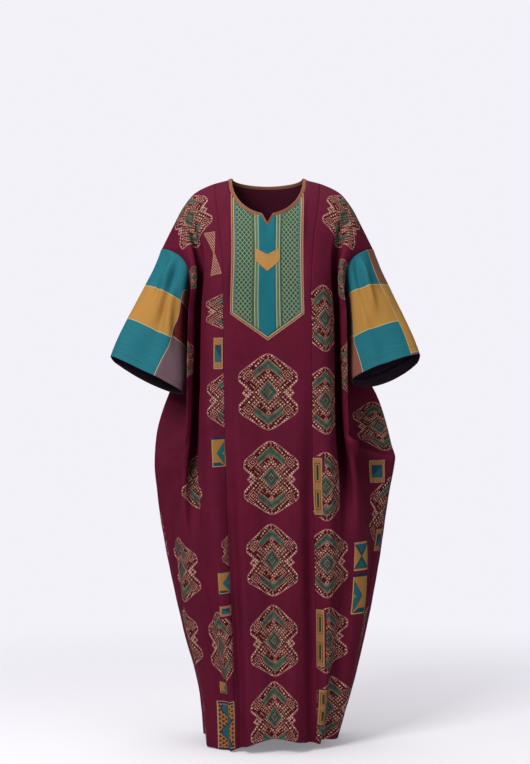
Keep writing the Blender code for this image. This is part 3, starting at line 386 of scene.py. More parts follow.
PLATE_STEPS = (0.0042, 0.0030)    # between columns and rows
CORD_STEP = 0.0050
CORD_SIDES = 6
BORDER_CORD = (0.0018, BRAID_HEIGHT)      # half widths and heights
TRELLIS_CORD = (0.0008, 0.0007)
CHEVRON_CORD = (0.0007, 0.0006)
BRAID_SHARE = 0.46        # a braid cord's half width, as a share of the room for it
BORDER_CLEAR = 0.0006     # between the border and the strip and braids
TRELLIS_CLEAR = 0.0012    # between the border and the trellis
NECK_CLEAR = 0.0020       # between the neck seam and the trellis
TRELLIS_POINTS = 42       # places worked out for a trellis cord, which runs through every fifth one
TRELLIS_STEP = 5
SLANT_POINTS = 22         # places along half of the bib's point
CHEVRON_POINTS = (31, 13, 9)      # columns, rows, and places along the cord at each end
BORDER_INSETS = {"outer": (0.0020, "border_pink"), "inner": (0.0068, "border_cream")}
BINDING_SIDES = 16
BINDING_STEP = 0.0012
THREAD = 0.00035
STITCH_SHARE = 0.68       # how much of the pitch shows
STITCH_PITCH = 0.0042
HEM_STITCH_INSET = 0.0040
SEAM_CLEAR = 0.0003
ALLOWANCE = 0.0110
ALLOWANCE_THICK = 0.0006
ALLOWANCE_ROWS = slice(2, -5)

# What each piece was cut to: width, length and the area within them; how it is held; what it rests on.
SHEETS = {
    "front_side_right_cloth": (0.490, 1.485, 0.460, "hung", ()),
    "front_side_left_cloth": (0.520, 1.475, 0.470, "hung", ()),
    "front_centre_cloth": (0.280, 1.490, 0.360, "hung", ()),
    "back_cloth": (0.805, 1.490, 0.940, "hung", ()),
    "sleeve_right_cloth": (0.560, 0.365, 0.150, "hung", ("front_side_right_cloth", "back_cloth")),
    "sleeve_left_cloth": (0.560, 0.365, 0.142, "hung", ("front_side_left_cloth", "back_cloth")),
    "bib_cloth": (0.187, 0.392, 0.058, "laid", ("front_centre_cloth",)),
    "bib_strip_cloth": (0.043, 0.290, None, "laid", ("bib_cloth",)),
    "bib_chevron_cloth": (0.066, 0.056, 0.0025, "laid", ("bib_strip_cloth",)),
    "neck_binding_cloth": (0.0115, 0.620, None, "folded", ("front_centre_cloth", "back_cloth")),
}

# ---------------------------------------------------------------- the room

FLOOR_GAP = 0.0005
FLOOR_HALF = 14.0
FLOOR_COLOUR = (0.92, 0.90, 0.94, 1.0)
FLOOR_NEAR = 0.9          # the floor fades into the room between these distances
FLOOR_FAR = 2.6
ROOM_COLOUR = (0.90, 0.88, 0.945, 1.0)
ROOM_LIGHT = 0.24
LAMP_AIM = (0.0, 0.0, -0.45)
LAMPS = {                 # place, size and power
    "key": ((-1.6, -2.5, 1.2), 1.3, 112.0),
    "fill": ((2.6, -2.8, 0.4), 2.2, 26.0),
    "top": ((0.0, 0.4, 2.8), 2.8, 80.0),
}
SENSOR = 36.0
LENS = 77.6
CAMERA_PLACE = (-0.006, -4.2, -0.518)

# ---------------------------------------------------------------- curves

def run_along(line, power=1.0):
    """How far each point of a line lies from its start, with each step raised to a power."""
    return np.concatenate([[0.0], np.cumsum(np.linalg.norm(np.diff(line, axis=0), axis=1) ** power)])


def hermite(start, end, leave, arrive, t):
    return (
        (2 * t**3 - 3 * t**2 + 1) * start
        + (t**3 - 2 * t**2 + t) * leave
        + (3 * t**2 - 2 * t**3) * end
        + (t**3 - t**2) * arrive
    )


def spline(knots, values, at):
    """A smooth curve through values at the knots, read at the places in at."""
    knots, at = np.asarray(knots, float), np.asarray(at, float)
    values = np.asarray(values, float).reshape(len(knots), -1)
    steps = np.diff(knots)[:, None]
    slopes = np.diff(values, axis=0) / steps
    inner = (slopes[:-1] * steps[1:] + slopes[1:] * steps[:-1]) / (steps[1:] + steps[:-1])
    tangents = np.vstack([slopes[:1], inner, slopes[-1:]])
    i = np.clip(np.searchsorted(knots, at, side="right") - 1, 0, len(knots) - 2)
    h = steps[i]
    share = (at - knots[i])[:, None] / h
    return hermite(values[i], values[i + 1], h * tangents[i], h * tangents[i + 1], share)


def smoothstep(low, high, x):
    t = np.clip((x - low) / (high - low), 0.0, 1.0)
    return t * t * (3.0 - 2.0 * t)


def ends_fade(t, share):
    """1 along a fold, falling to 0 at both of its ends, and 0 beyond them."""
    return smoothstep(0.0, share, t) * (1.0 - smoothstep(1.0 - share, 1.0, t))


def runs(grid, axis):
    """How far each point lies along its row (axis 1) or column (axis 0) from where that starts."""
    steps = np.linalg.norm(np.diff(grid, axis=axis), axis=2)
    start = np.zeros_like(np.take(steps, [0], axis=axis))
    return np.concatenate([start, np.cumsum(steps, axis=axis)], axis=axis)


def distance_across(grid):
    """How far each point lies along its own row, from the row's middle outward."""
    run = runs(grid, 1)
    return run - run[:, run.shape[1] // 2][:, None]


def surface_normals(grid, turn=1):
    """Unit normals of a grid, one for each point. turn is 1 or -1, whichever makes them point outward."""
    normal = turn * np.cross(np.gradient(grid, axis=0), np.gradient(grid, axis=1))
    return normal / np.maximum(np.linalg.norm(normal, axis=2, keepdims=True), 1e-9)


def tube_normals(grid, turn):
    """Normals of a grid whose last column is its first."""
    return surface_normals(np.concatenate([grid[:, -2:-1], grid, grid[:, 1:2]], axis=1), turn)[:, 1:-1]


def crumple(grid):
    """Faint unevenness, the same on every run."""
    return CRUMPLE * np.array([[noise.noise(Vector(point) / CRUMPLE_SIZE) for point in row] for row in grid])


# ---------------------------------------------------------------- the body's level sections

SECTIONS_UPWARD = np.array(SECTIONS)[::-1]


def half_marks(s, side):
    """The marks of one half of section s: the front's from its tip to the seam, then the back's."""
    torso, tip_y, parted = s["torso"], s["wing_y"], s["parted"]
    front, back = -s["front"], s["back"]
    wing = s["wing_right"] if side < 0 else s["wing_left"]
    seam_x = s["seam"] + side * s["lean"]
    seam_share = math.acos((seam_x / wing) ** (1 / OVAL_POWER)) / (math.pi / 2)
    marks = [np.array([wing, tip_y])]
    for share, depth, hanging in (
        (0.30, front, (1.02 * torso, tip_y - 0.024)),
        (0.54, front, (1.07 * torso, -s["strip"])),
        (0.70, front, (0.915 * torso, -s["valley"])),
        (0.84, front, (0.83 * torso, 0.86 * front)),
        (1.0, front, (seam_x, front)),
        (0.34, back, (0.42 * torso + 0.58 * wing, tip_y + 0.030)),
        (0.68, back, (0.84 * torso, 0.78 * back)),
        (1.0, back, (0.60 * torso, back)),
    ):
        turn = share * seam_share * math.pi / 2
        oval = (wing * math.cos(turn) ** OVAL_POWER, tip_y + (depth - tip_y) * math.sin(turn) ** OVAL_POWER)
        marks.append((1 - parted) * np.array(oval) + parted * np.array(hanging))
    return np.array(marks) * (side, 1.0)


def level_ring(z, at):
    """Points of the body's closed outline at height z, at marks numbered round it from 0, the right tip."""
    s = dict(zip(SECTION_COLUMNS, spline(SECTIONS_UPWARD[:, 0], SECTIONS_UPWARD, [z])[0]))
    right, left = half_marks(s, -1), half_marks(s, 1)
    centre, back_centre = (s["lean"], -0.985 * s["front"]), (s["lean"], 0.97 * s["back"])
    marks = np.vstack([right[:6], centre, left[5::-1], left[6:], back_centre, right[:5:-1]])
    around = np.vstack([marks[-2:], marks, marks[:3]])
    knots = run_along(around, 0.5)
    points = spline(knots, around, np.interp(at, np.arange(-2, len(marks) + 3), knots))
    return np.column_stack([points, np.full(len(points), z)])


def ring_numbers(panel, places):
    """The ring's mark numbers across a panel."""
    half = np.interp(places, *MARKS[panel])
    first, span = (0, 6) if panel == "front" else (12, 4)
    return np.concatenate([first + half, first + 2 * span - half[-2::-1]])


def both_halves(places):
    return np.concatenate([places, places[-2::-1]])


def panel_sides(panel, places):
    """-1 for the wearer's right and 1 for the left, for each column."""
    half = np.full(len(places) - 1, -1.0 if panel == "front" else 1.0)
    return np.concatenate([half, [0.0], -half])


# ---------------------------------------------------------------- the body's panels

def shoulder_and_neck(panel, places, sides, edge=0.0):
    """The top line of a panel: along the shoulder seam, then round the neck. edge moves the neck part from
    the seam (0) to the binding's own edge (1)."""
    lengths = run_along(SHOULDER)
    on_seam = spline(lengths / lengths[-1], SHOULDER, np.clip(places, 0.0, 1.0))
    half = NECK_HALF - edge * (BINDING + 0.001)
    lift = edge * BINDING
    turn = np.zeros(len(places))
    neck = places > 1.0
    if panel == "front":
        u = PANEL_HALF * (6.0 - np.interp(places, *MARKS["front"]))
        turn[neck] = np.arccos(np.clip(u[neck] / NECK_HALF, -1.0, 1.0))
        drop, reach = NECK_FRONT_DROP - lift, -NECK_FRONT_REACH
        notch = np.clip(1.0 - u / (NOTCH_HALF - 1e-9), 0.0, 1.0) * NOTCH_DROP
        notch = notch - edge * (BINDING - NOTCH_BINDING) * (u < NOTCH_HALF + 1e-6)
    else:
        turn[neck] = (places[neck] - 1.0) * math.pi / 2
        drop, reach = NECK_BACK_DROP - lift, NECK_BACK_REACH - 0.5 * lift
        notch = np.zeros(len(places))
    x = np.where(neck, half * np.cos(turn), on_seam[:, 0])
    y = reach * np.sin(turn) - 0.25 * notch
    z = on_seam[:, 1] * np.where(neck, np.cos(turn), 1.0) - np.where(neck, drop * np.sin(turn), 0.0) - notch
    if edge:
        x = np.where(neck, x, half)
        z = z + lift * np.cos(turn) * 0.4
    return np.stack([sides * x, y, z], 1)


def armhole(panel, side, shares):
    share, x, front_y, back_y, z = np.array(ARMHOLE).T
    return spline(share, np.stack([side * x, front_y if panel == "front" else back_y, z], 1), shares)


def hem_height(panel, across, sides):
    marks, *heights = np.array(HEM[panel]).T
    right, left = (spline(marks, line, np.interp(across, *MARKS[panel]))[:, 0] for line in heights)
    return np.where(sides < 0, right, left)


def chest_row(panel, across, sides):
    rows = np.array(CHEST_ROWS[panel])
    first = 1.0 if panel == "back" else -1.0
    near, far = (
        np.vstack([armhole(panel, side, [CHEST_SHARE]), rows[:, 1:] * (side, 1.0, 1.0)])
        for side in (first, -first)
    )
    places = np.concatenate([[0.0], rows[:, 0]])
    knots = np.concatenate([places, 4.0 - places[-2::-1]])
    return spline(knots, np.vstack([near, far[-2::-1]]), np.where(sides == -first, 4.0 - across, across))


def leave_top(panel, across):
    """The direction in which each column leaves a panel's top."""
    ahead = -1.0 if panel == "front" else 1.0
    over_shoulder, beside_neck, down_neck = (
        np.array([0.0, y * ahead, z]) for y, z in ((0.95, -0.25), (0.74, -0.62), (0.34, -0.92))
    )
    leave = over_shoulder + smoothstep(0.45, 0.95, across)[:, None] * (beside_neck - over_shoulder)
    return leave + np.clip((across - 1.0) * 1.6, 0.0, 1.0)[:, None] * (down_neck - leave)


def upper_rows(panel, across, sides, upper, armpit, slope):
    """A panel's rows from its top down to the armpits, where its columns arrive with a slope."""
    top = shoulder_and_neck(panel, across, np.where(sides == 0, 1.0, sides))
    chest = chest_row(panel, across, sides)
    leave = leave_top(panel, across) * np.linalg.norm(chest - top, axis=1)[:, None]
    arrive = slope * np.linalg.norm(armpit - chest, axis=1)[:, None]
    pass_by = (armpit - top) * 0.62
    rest = 1 - CHEST_SHARE
    grid = np.array([
        hermite(top, chest, leave, pass_by * CHEST_SHARE / 0.5, v / CHEST_SHARE) if v < CHEST_SHARE
        else hermite(chest, armpit, pass_by * rest / 0.5, arrive, (v - CHEST_SHARE) / rest)
        for v in upper
    ])
    near = 1.0 - smoothstep(0.0, 0.46, across)
    for column in (0, -1):
        shift = armhole(panel, sides[column], upper) - grid[:, column]
        grid = grid + (near * (sides == sides[column]))[:, None] * shift[:, None]
    return grid


def lower_rows(numbers, hem, lower):
    levels = np.arange(ARMPIT_Z, hem.min() - LEVEL_STEP, -LEVEL_STEP)
    rings = np.array([level_ring(z, numbers) for z in levels])
    heights = ARMPIT_Z + lower[1:, None] * (hem - ARMPIT_Z)
    columns = list(zip(heights.T, rings.swapaxes(0, 1)))
    flat = [[np.interp(-z, -levels, ring[:, k]) for z, ring in columns] for k in (0, 1)]
    return np.stack([*np.swapaxes(flat, 1, 2), heights], -1)


def plain_panel(panel, places, upper, lower):
    """A body panel with no folds: rows from its top to its hem, and columns across it."""
    across, sides, numbers = both_halves(places), panel_sides(panel, places), ring_numbers(panel, places)
    armpit, below = level_ring(ARMPIT_Z, numbers), level_ring(ARMPIT_Z - ARMPIT_STEP, numbers)
    above = upper_rows(panel, across, sides, upper, armpit, (below - armpit) / ARMPIT_STEP)
    return np.vstack([above, lower_rows(numbers, hem_height(panel, across, sides), lower)])


def fold_depths(panel, grid, places):
    """How far the hanging folds, creases and swags move each point of a panel outward."""
    across, sides = both_halves(places), panel_sides(panel, places)
    run = np.abs(distance_across(grid))
    middle = len(places) - 1
    z = grid[:, :, 2]
    depth = np.zeros(z.shape)
    for side in (-1, 1):
        mine = (sides == side) | (sides == 0)
        half = slice(0, middle + 1) if sides[0] == side else slice(middle, None)
        order = np.argsort(across[half])
        known, lines = across[half][order], run[:, half][:, order]
        for table in (FOLDS, CREASES):
            for top, low, z_top, z_low, width, height in table[panel, side]:
                t = (z - z_top) / (z_low - z_top)
                place = top + np.clip(t, 0, 1) * (low - top)
                away = run - [np.interp(at, known, line) for at, line in zip(place, lines)]
                strength = smoothstep(0.0, FOLD_START, t)
                if table is CREASES:
                    strength = strength * (1.0 - smoothstep(*CREASE_END, t))
                depth += mine * height * strength * np.exp(-((away / width) ** 2))
        for near, far, z_near, z_far, sag, width, height in SWAGS[panel, side]:
            t = (across - near) / (far - near)
            line = z_near + t * (z_far - z_near) - 4 * sag * t * (1 - t)
            depth += mine * height * ends_fade(t, SWAG_FADE) * np.exp(-((z - line) / width) ** 2)
    return depth


def body_panel(panel, places, upper, lower):
    grid = plain_panel(panel, places, upper, lower)
    depth = fold_depths(panel, grid, places) + crumple(grid)
    depth = depth * np.clip(both_halves(places) / CALM_SIDE, 0.0, 1.0)
    depth[0] = 0.0
    depth[:len(upper)] *= smoothstep(0.0, CALM_TOP, upper)[:, None]
    return grid + surface_normals(grid) * depth[:, :, None]


# ---------------------------------------------------------------- sleeves

def cuff_loop(side, rounds):
    """The cuff's opening. rounds runs from 0 at its outer corner, over its front, to 0.5 at its inner one."""
    outer_x, outer_z, inner_x, inner_z, half_depth, y, back_drop = CUFFS[side]
    outer, inner = np.array([side * outer_x, y, outer_z]), np.array([side * inner_x, y, inner_z])
    turn = 2 * math.pi * rounds
    sway = -np.sin(turn)
    sink = np.where(sway > 0, sway, 0.35 * sway) * back_drop
    loop = (outer + inner) / 2 + np.cos(turn)[:, None] * (outer - inner) / 2
    return loop + np.column_stack([0 * sway, sway * half_depth, -sink])


def sleeve(side, upper, along):
    """A sleeve: rows from the armhole to the cuff, and columns round it. The last column is the first."""
    start = np.vstack([armhole("front", side, upper), armhole("back", side, upper)[-2::-1]])
    half_rounds = 0.5 * spline(UPPER_ROWS, np.linspace(0.0, 1.0, len(UPPER_ROWS)), upper)[:, 0]
    rounds = np.concatenate([half_rounds, 1.0 - half_rounds[-2::-1]])
    end = cuff_loop(side, rounds)
    axis = end.mean(axis=0) - start.mean(axis=0)
    pull = axis / np.linalg.norm(axis) * np.linalg.norm(end - start, axis=1)[:, None] * 0.9
    grid = np.array([hermite(start, end, pull, pull, w) for w in along])
    girth = runs(grid, 1)[:, -1][:, None]
    depth = crumple(grid) * smoothstep(0.0, CALM_START, along)[:, None]
    for round_in, round_out, along_in, along_out, width, height in SLEEVE_FOLDS[side]:
        t = (along - along_in) / (along_out - along_in)
        centre = round_in + np.clip(t, 0, 1) * (round_out - round_in)
        away = ((rounds - centre[:, None] + 0.5) % 1.0 - 0.5) * girth / width
        depth += height * ends_fade(t, SLEEVE_FADE)[:, None] * np.exp(-away**2)
    depth[0] = 0.0
    grid = grid + tube_normals(grid, -side) * depth[:, :, None]
    grid[:, -1] = grid[:, 0]
    return grid


# ---------------------------------------------------------------- rows and columns

def place_of(width):
    """The place across the centre panel of a line width metres from its middle."""
    if width <= NECK_HALF:
        return 2.0 - width / NECK_HALF
    return ACROSS_SIDE[-1] + (1.0 - ACROSS_SIDE[-1]) * (PANEL_HALF - width) / (PANEL_HALF - NECK_HALF)


def fine_places():
    """Places across half a panel, closer together beside the seam."""
    share = np.arange(SIDE_STEPS) / SIDE_STEPS
    side = [a + (b - a) * part for a, b in zip(ACROSS_SIDE[:-1], ACROSS_SIDE[1:]) for part in share]
    last = ACROSS_SIDE[-1]
    side += [last - (last - ACROSS_SIDE[-2]) * gap / SIDE_GAP for gap in NEAR_EDGE[::-1]] + [last]
    middle = np.linspace(NECK_TURN, 0.0, round(NECK_TURN / MIDDLE_STEP) + 1)
    widths = [PANEL_HALF - gap for gap in NEAR_EDGE] + [*MORE_COLUMNS, *middle]
    return np.array(side + [place_of(width) for width in widths])


def fine_rows(length, step, first=(), last=()):
    """Shares of a column's length in even steps, with closer ones at its ends."""
    near = [gap / length for gap in first] + [1.0 - gap / length for gap in last]
    even = [
        v for v in np.linspace(0.0, 1.0, round(length / step) + 1)
        if v in (0.0, 1.0) or all(abs(v - other) > 0.4 * step / length for other in near)
    ]
    return np.array(sorted(even + near))


# ---------------------------------------------------------------- pieces of cloth

class Cloth:
    """A stretch of the surface: its points, the directions square to them, and its flat cloth's coordinates,
    across and along it, in metres."""

    def __init__(self, points, normals, flat):
        self.points, self.normals, self.flat = points, normals, flat

    def part(self, rows, columns):
        return Cloth(*(values[rows, columns] for values in (self.points, self.normals, self.flat)))

    def moved(self, height):
        """The same stretch, height over its own outer face; height is a number or one for each point."""
        height = np.broadcast_to(height, self.points.shape[:2])[:, :, None]
        return Cloth(self.points + self.normals * height, self.normals, self.flat)


def share_directions(cloths):
    """Gives points that several stretches have in common one direction, so that they stay joined."""
    sums = {}
    edges = [(cloth, index) for cloth in cloths for index in edge_indices(cloth)]
    keys = [tuple(np.round(cloth.points[index], 5)) for cloth, index in edges]
    for (cloth, index), key in zip(edges, keys):
        sums[key] = sums.get(key, 0.0) + cloth.normals[index]
    for (cloth, index), key in zip(edges, keys):
        cloth.normals[index] = sums[key] / max(1.0, np.linalg.norm(sums[key]))


def edge_indices(cloth):
    rows, columns = cloth.points.shape[:2]
    across = [(i, j) for i in (0, rows - 1) for j in range(columns)]
    return across + [(i, j) for i in range(1, rows - 1) for j in (0, columns - 1)]


def evened(values):
    """Each row's values, evened out along it."""
    offsets = np.arange(-2 * EVEN_REACH, 2 * EVEN_REACH + 1)
    weights = np.exp(-0.5 * (offsets / EVEN_REACH) ** 2)
    padded = np.pad(values, ((0, 0), (2 * EVEN_REACH, 2 * EVEN_REACH)), "reflect", reflect_type="odd")
    windows = np.lib.stride_tricks.sliding_window_view(padded, len(offsets), axis=1)
    return windows @ (weights / weights.sum())


def body_cloth(panel, places, upper, lower):
    """A body panel, with its flat cloth's coordinates across it and down from the armpits."""
    grid = body_panel(panel, places, upper, lower)
    across = evened(distance_across(grid * (1.0, 1.0, 0.0)).T).T
    step = np.linalg.norm(np.diff(grid, axis=0), axis=2)
    fall = np.sqrt(np.maximum(step**2 - np.diff(across, axis=0) ** 2, (LEAST_FALL * step) ** 2))
    down = evened(np.vstack([np.zeros(fall.shape[1]), np.cumsum(fall, axis=0)]))
    return Cloth(grid, surface_normals(grid), np.stack([across, down - down[len(upper) - 1]], -1))


def sleeve_cloth(side, upper, along):
    grid = sleeve(side, upper, along)
    return Cloth(grid, tube_normals(grid, -side), np.stack([runs(grid, 1), runs(grid, 0)], -1))


def sunk(away):
    """How deep the cloth lies at a distance from a seam."""
    return -SEAM_SINK * (1.0 - smoothstep(0.0, SEAM_REACH, away))


def sink_seams(front, back, sleeves, seam):
    """Draws the cloth in along its seams."""
    for cloth, columns in ((front, (0, seam, -1 - seam, -1)), (back, (0, -1))):
        across, down = cloth.flat[:, :, 0], cloth.flat[:, :, 1]
        depth = np.where(np.abs(across) > NECK_HALF, sunk(down - down[0]), 0.0)
        for column in columns:
            depth = np.minimum(depth, sunk(np.abs(across - across[:, [column]])))
        cloth.points += cloth.normals * depth[:, :, None]
    for cloth in sleeves.values():
        cloth.points += cloth.normals * sunk(cloth.flat[:, :, 1])[:, :, None]
        cloth.points[:, -1] = cloth.points[:, 0]


# ---------------------------------------------------------------- meshes

ALL_RIMS = ("top", "low", "first", "last")


def add_piece(name, points, faces, flat, materials, slot):
    """A piece with its flat cloth's coordinates, on the robe's body; its slot is not used."""
    mesh = bpy.data.meshes.new(name)
    mesh.from_pydata(np.asarray(points).tolist(), [], faces)
    add_coordinates(mesh, "cloth", flat)
    for material in materials:
        mesh.materials.append(material)
    mesh.shade_smooth()
    piece = bpy.data.objects.new(name, mesh)
    bpy.context.scene.collection.objects.link(piece)
    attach(piece, "root")
    return piece


def add_coordinates(mesh, name, flat):
    mesh.uv_layers.new(name=name).data.foreach_set("uv", np.asarray(flat).ravel())


def grid_faces(rows, columns):
    """Four-sided faces between a grid's points, as an array of corners."""
    at = np.arange(rows * columns).reshape(rows, columns)
    return np.stack([at[:-1, :-1], at[1:, :-1], at[1:, 1:], at[:-1, 1:]], -1).reshape(-1, 4)


def rim_faces(rows, columns, sides):
    """Faces that close the gap between a grid and its copy beneath it, along the named sides."""
    at = np.arange(rows * columns).reshape(rows, columns)
    lines = {"top": at[0], "low": at[-1, ::-1], "first": at[::-1, 0], "last": at[:, -1]}
    edges = [np.stack([lines[side][:-1], lines[side][1:]], 1) for side in sides]
    return np.vstack([np.hstack([edge, edge[:, ::-1] + rows * columns]) for edge in edges])


def cloth_piece(name, cloth, thickness, materials, slot, turn=1, rims=ALL_RIMS, marks=None):
    """A thin shell whose outer face is a stretch of the surface. Its inner face takes the last material, and
    marks may give each outer face another one."""
    rows, columns = cloth.points.shape[:2]
    face = grid_faces(rows, columns)
    count = len(face)
    faces = np.vstack([face, face[:, ::-1] + rows * columns, rim_faces(rows, columns, rims)])
    if turn < 0:
        faces = faces[:, ::-1]
    points = np.vstack([cloth.points.reshape(-1, 3), cloth.moved(-thickness).points.reshape(-1, 3)])
    flat = cloth.flat.reshape(-1, 2)[faces.reshape(-1) % (rows * columns)]
    piece = add_piece(name, points, faces.tolist(), flat, materials, slot)
    index = np.zeros(len(faces), int)
    if marks is not None:
        index[:count] = marks.material
        local = np.zeros((len(faces), 4, 2))
        local[:count] = marks.local
        add_coordinates(piece.data, "motif", local)
    index[count:2 * count] = len(materials) - 1
    piece.data.polygons.foreach_set("material_index", index)
    return piece


def weld(piece):
    """Joins a tube's first and last columns."""
    tube = bmesh.new()
    tube.from_mesh(piece.data)
    bmesh.ops.remove_doubles(tube, verts=tube.verts, dist=WELD)
    tube.to_mesh(piece.data)
    tube.free()


def declare(piece):
    """Looks up what size a piece of cloth was cut to, and does nothing more with it."""
    wide, long, area, held, rests_on = SHEETS[piece.name]
    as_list(rests_on)


# ---------------------------------------------------------------- shader arithmetic

def feed(node, feeds):
    """Gives a node's sockets, by name or number, a value or another node's socket."""
    for slot, value in dict(feeds).items():
        if isinstance(value, bpy.types.NodeSocket):
            node.id_data.links.new(value, node.inputs[slot])
        else:
            node.inputs[slot].default_value = value


def add_node(tree, kind, feeds=(), **settings):
    node = tree.nodes.new("ShaderNode" + kind)
    for name, value in settings.items():
        setattr(node, name, value)
    feed(node, feeds)
    return node


class Signal:
    """A number that varies over a surface, worked out by Math nodes. Lengths are in metres."""

    def __init__(self, tree, socket):
        self.tree, self.socket = tree, socket

    def do(self, operation, *others, clamp=False):
        values = (value.socket if isinstance(value, Signal) else value for value in (self, *others))
        node = add_node(self.tree, "Math", enumerate(values), operation=operation, use_clamp=clamp)
        return Signal(self.tree, node.outputs[0])

    def __add__(self, other):
        return self.do("ADD", other)

    def __sub__(self, other):
        return self.do("SUBTRACT", other)

    def __mul__(self, other):
        return self.do("MULTIPLY", other)

    def __abs__(self):
        return self.do("ABSOLUTE")

    least = partialmethod(do, "MINIMUM")
    most = partialmethod(do, "MAXIMUM")
    # The greater and the lesser of two, with the corner between them rounded off over a width.
    round_most = partialmethod(do, "SMOOTH_MAX")
    round_least = partialmethod(do, "SMOOTH_MIN")

    def from_multiple(self, period):
        """The distance to the nearest multiple of period."""
        return self.do("PINGPONG", period / 2)

    def below(self, edge, soft=SOFT_EDGE):
        """1 where this is below edge and 0 where it is above it."""
        return self.do("MULTIPLY_ADD", -1 / soft, edge / soft + 0.5, clamp=True)

    def above(self, edge, soft=SOFT_EDGE):
        return self.do("MULTIPLY_ADD", 1 / soft, 0.5 - edge / soft, clamp=True)

    def between(self, low, high):
        return abs(self - (low + high) / 2).below((high - low) / 2)


def linear(colour):
    """A colour as "#rrggbb" in the renderer's own linear values, with its alpha."""
    parts = [int(colour[i:i + 2], 16) / 255 for i in (1, 3, 5)]
    return *(part / 12.92 if part <= 0.04045 else ((part + 0.055) / 1.055) ** 2.4 for part in parts), 1.0


class Paint:
    """A material whose colour is laid on in layers, with masks, and whose relief is a sum of heights."""

    def __init__(self, name, colour, roughness):
        self.material = bpy.data.materials.new(name)
        self.material.use_nodes = True
        self.tree = self.material.node_tree
        self.colour = linear(colour)
        self.height = None
        self.shader = self.tree.nodes["Principled BSDF"]
        feed(self.shader, {
            "Roughness": roughness, "Sheen Weight": 0.15, "Sheen Roughness": 0.45,
            "Sheen Tint": self.colour, "Specular IOR Level": 0.05,
        })
        self.u, self.v = self.coordinates("cloth")

    def coordinates(self, layer):
        source = add_node(self.tree, "UVMap", uv_map=layer)
        parts = add_node(self.tree, "SeparateXYZ", {0: source.outputs["UV"]})
        return Signal(self.tree, parts.outputs["X"]), Signal(self.tree, parts.outputs["Y"])

    def texture(self, kind, place, output, feeds=(), **settings):
        """A texture's value at a place given by its coordinates."""
        values = (value.socket if isinstance(value, Signal) else value for value in place)
        vector = add_node(self.tree, "CombineXYZ", enumerate(values))
        node = add_node(self.tree, kind, {"Vector": vector.outputs[0], **dict(feeds)}, **settings)
        return Signal(self.tree, node.outputs[output])

    def chance(self, *place):
        """A number from 0 to 1, by chance, for each pair of whole numbers."""
        return self.texture("TexWhiteNoise", place, "Value", noise_dimensions="2D")

    def noise(self, size_u, size_v, detail, seed=0.0):
        """Soft noise from about 0 to 1, of the given size across and along the cloth."""
        place = (self.u * (1 / size_u), self.v * (1 / size_v), seed)
        return self.texture("TexNoise", place, "Fac", {"Scale": 1.0, "Detail": detail})

    def wobbled(self, reach):
        """A motif's coordinates, moved by up to reach, as uneven yarns move a woven line."""
        x, y = self.coordinates("motif")
        first = self.noise(0.009, 0.004, 2.0, 21.0) - 0.5
        second = self.noise(0.004, 0.009, 2.0, 33.0) - 0.5
        return x + first * (2 * reach), y + second * (2 * reach)

    def lay(self, colour, mask):
        """Covers what is there with colour where mask is 1."""
        feeds = {0: mask.socket, 6: self.colour, 7: linear(colour)}
        self.colour = add_node(self.tree, "Mix", feeds, data_type="RGBA").outputs[2]

    def lay_all(self, *layers):
        for colour, mask in layers:
            self.lay(colour, mask)

    def raise_by(self, height):
        self.height = height if self.height is None else self.height + height

    def finish(self):
        feed(self.shader, {"Base Color": self.colour})
        if self.height is not None:
            relief = {"Strength": 1.0, "Distance": 1.0, "Height": self.height.socket}
            feed(self.shader, {"Normal": add_node(self.tree, "Bump", relief).outputs[0]})
        return self.material


def weave(paint, period, depth):
    turn = 2 * math.pi / period
    paint.raise_by((paint.u * turn).do("SINE") * (paint.v * turn).do("SINE") * depth)


def streaks(paint, darker, lighter, amount):
    """Uneven yarns: fine streaks along the cloth and faint wide ones across it."""
    for colour, place, gain, start in (
        (darker, (0.0016, 0.060, 3.0), 2.2, -0.75),
        (lighter, (0.045, 0.0022, 3.0, 7.0), 2.4, -0.95),
        (darker, (0.060, 0.140, 2.0, 3.0), 2.0, -0.60),
    ):
        paint.lay(colour, paint.noise(*place).do("MULTIPLY_ADD", gain, start, clamp=True) * amount)


def woven_paint(name, colour, darker, lighter, amount=0.35, roughness=0.70):
    paint = Paint(name, colour, roughness)
    streaks(paint, darker, lighter, amount)
    weave(paint, WEAVE, 0.00005)
    return paint.finish()


def cord_paint(name, colour, groove_shade, twist):
    """A twisted thread: slanting stripes of painted shade in its grooves, twist metres apart along it."""
    paint = Paint(name, colour, 0.58)
    slant = (paint.v + paint.u * 0.8).from_multiple(twist)
    # Painted shade: the grooves, where the relief below is lowest, are laid in a darker colour.
    paint.lay(groove_shade, slant.below(0.22 * twist, 0.0004) * 0.75)
    paint.raise_by(slant * 0.25)
    return paint.finish()


# ---------------------------------------------------------------- the printed cloth

def wine_ground(name):
    paint = Paint(name, WINE, 0.68)
    streaks(paint, WINE_DARK, WINE_LIGHT, 0.45)
    paint.lay(WINE_RED, paint.noise(0.110, 0.170, 2.0, 11.0).do("MULTIPLY_ADD", 3.0, -1.3, clamp=True) * 0.4)
    weave(paint, WEAVE, 0.00004)
    return paint


def dashes(paint, x, y, mask, pitch):
    """Bright dots on a diagonal lattice, with a dash in place of some by chance, and a few missing."""
    p, q = (x + y) * DIAGONAL, (x - y) * DIAGONAL
    across, along = p.from_multiple(pitch), q.from_multiple(pitch)
    cell = paint.chance((p * (1 / pitch)).do("ROUND"), (q * (1 / pitch)).do("ROUND"))
    long, thin, dot = 0.40 * pitch, 0.14 * pitch, 0.25 * pitch
    one_way = across.below(long) * along.below(thin) * cell.between(0.62, 0.80)
    other_way = across.below(thin) * along.below(long) * cell.above(0.80)
    paint.lay(PINK, one_way.most(other_way) * mask)
    paint.lay(PINK_LIGHT, across.most(along).below(dot) * cell.between(0.06, 0.62) * mask)


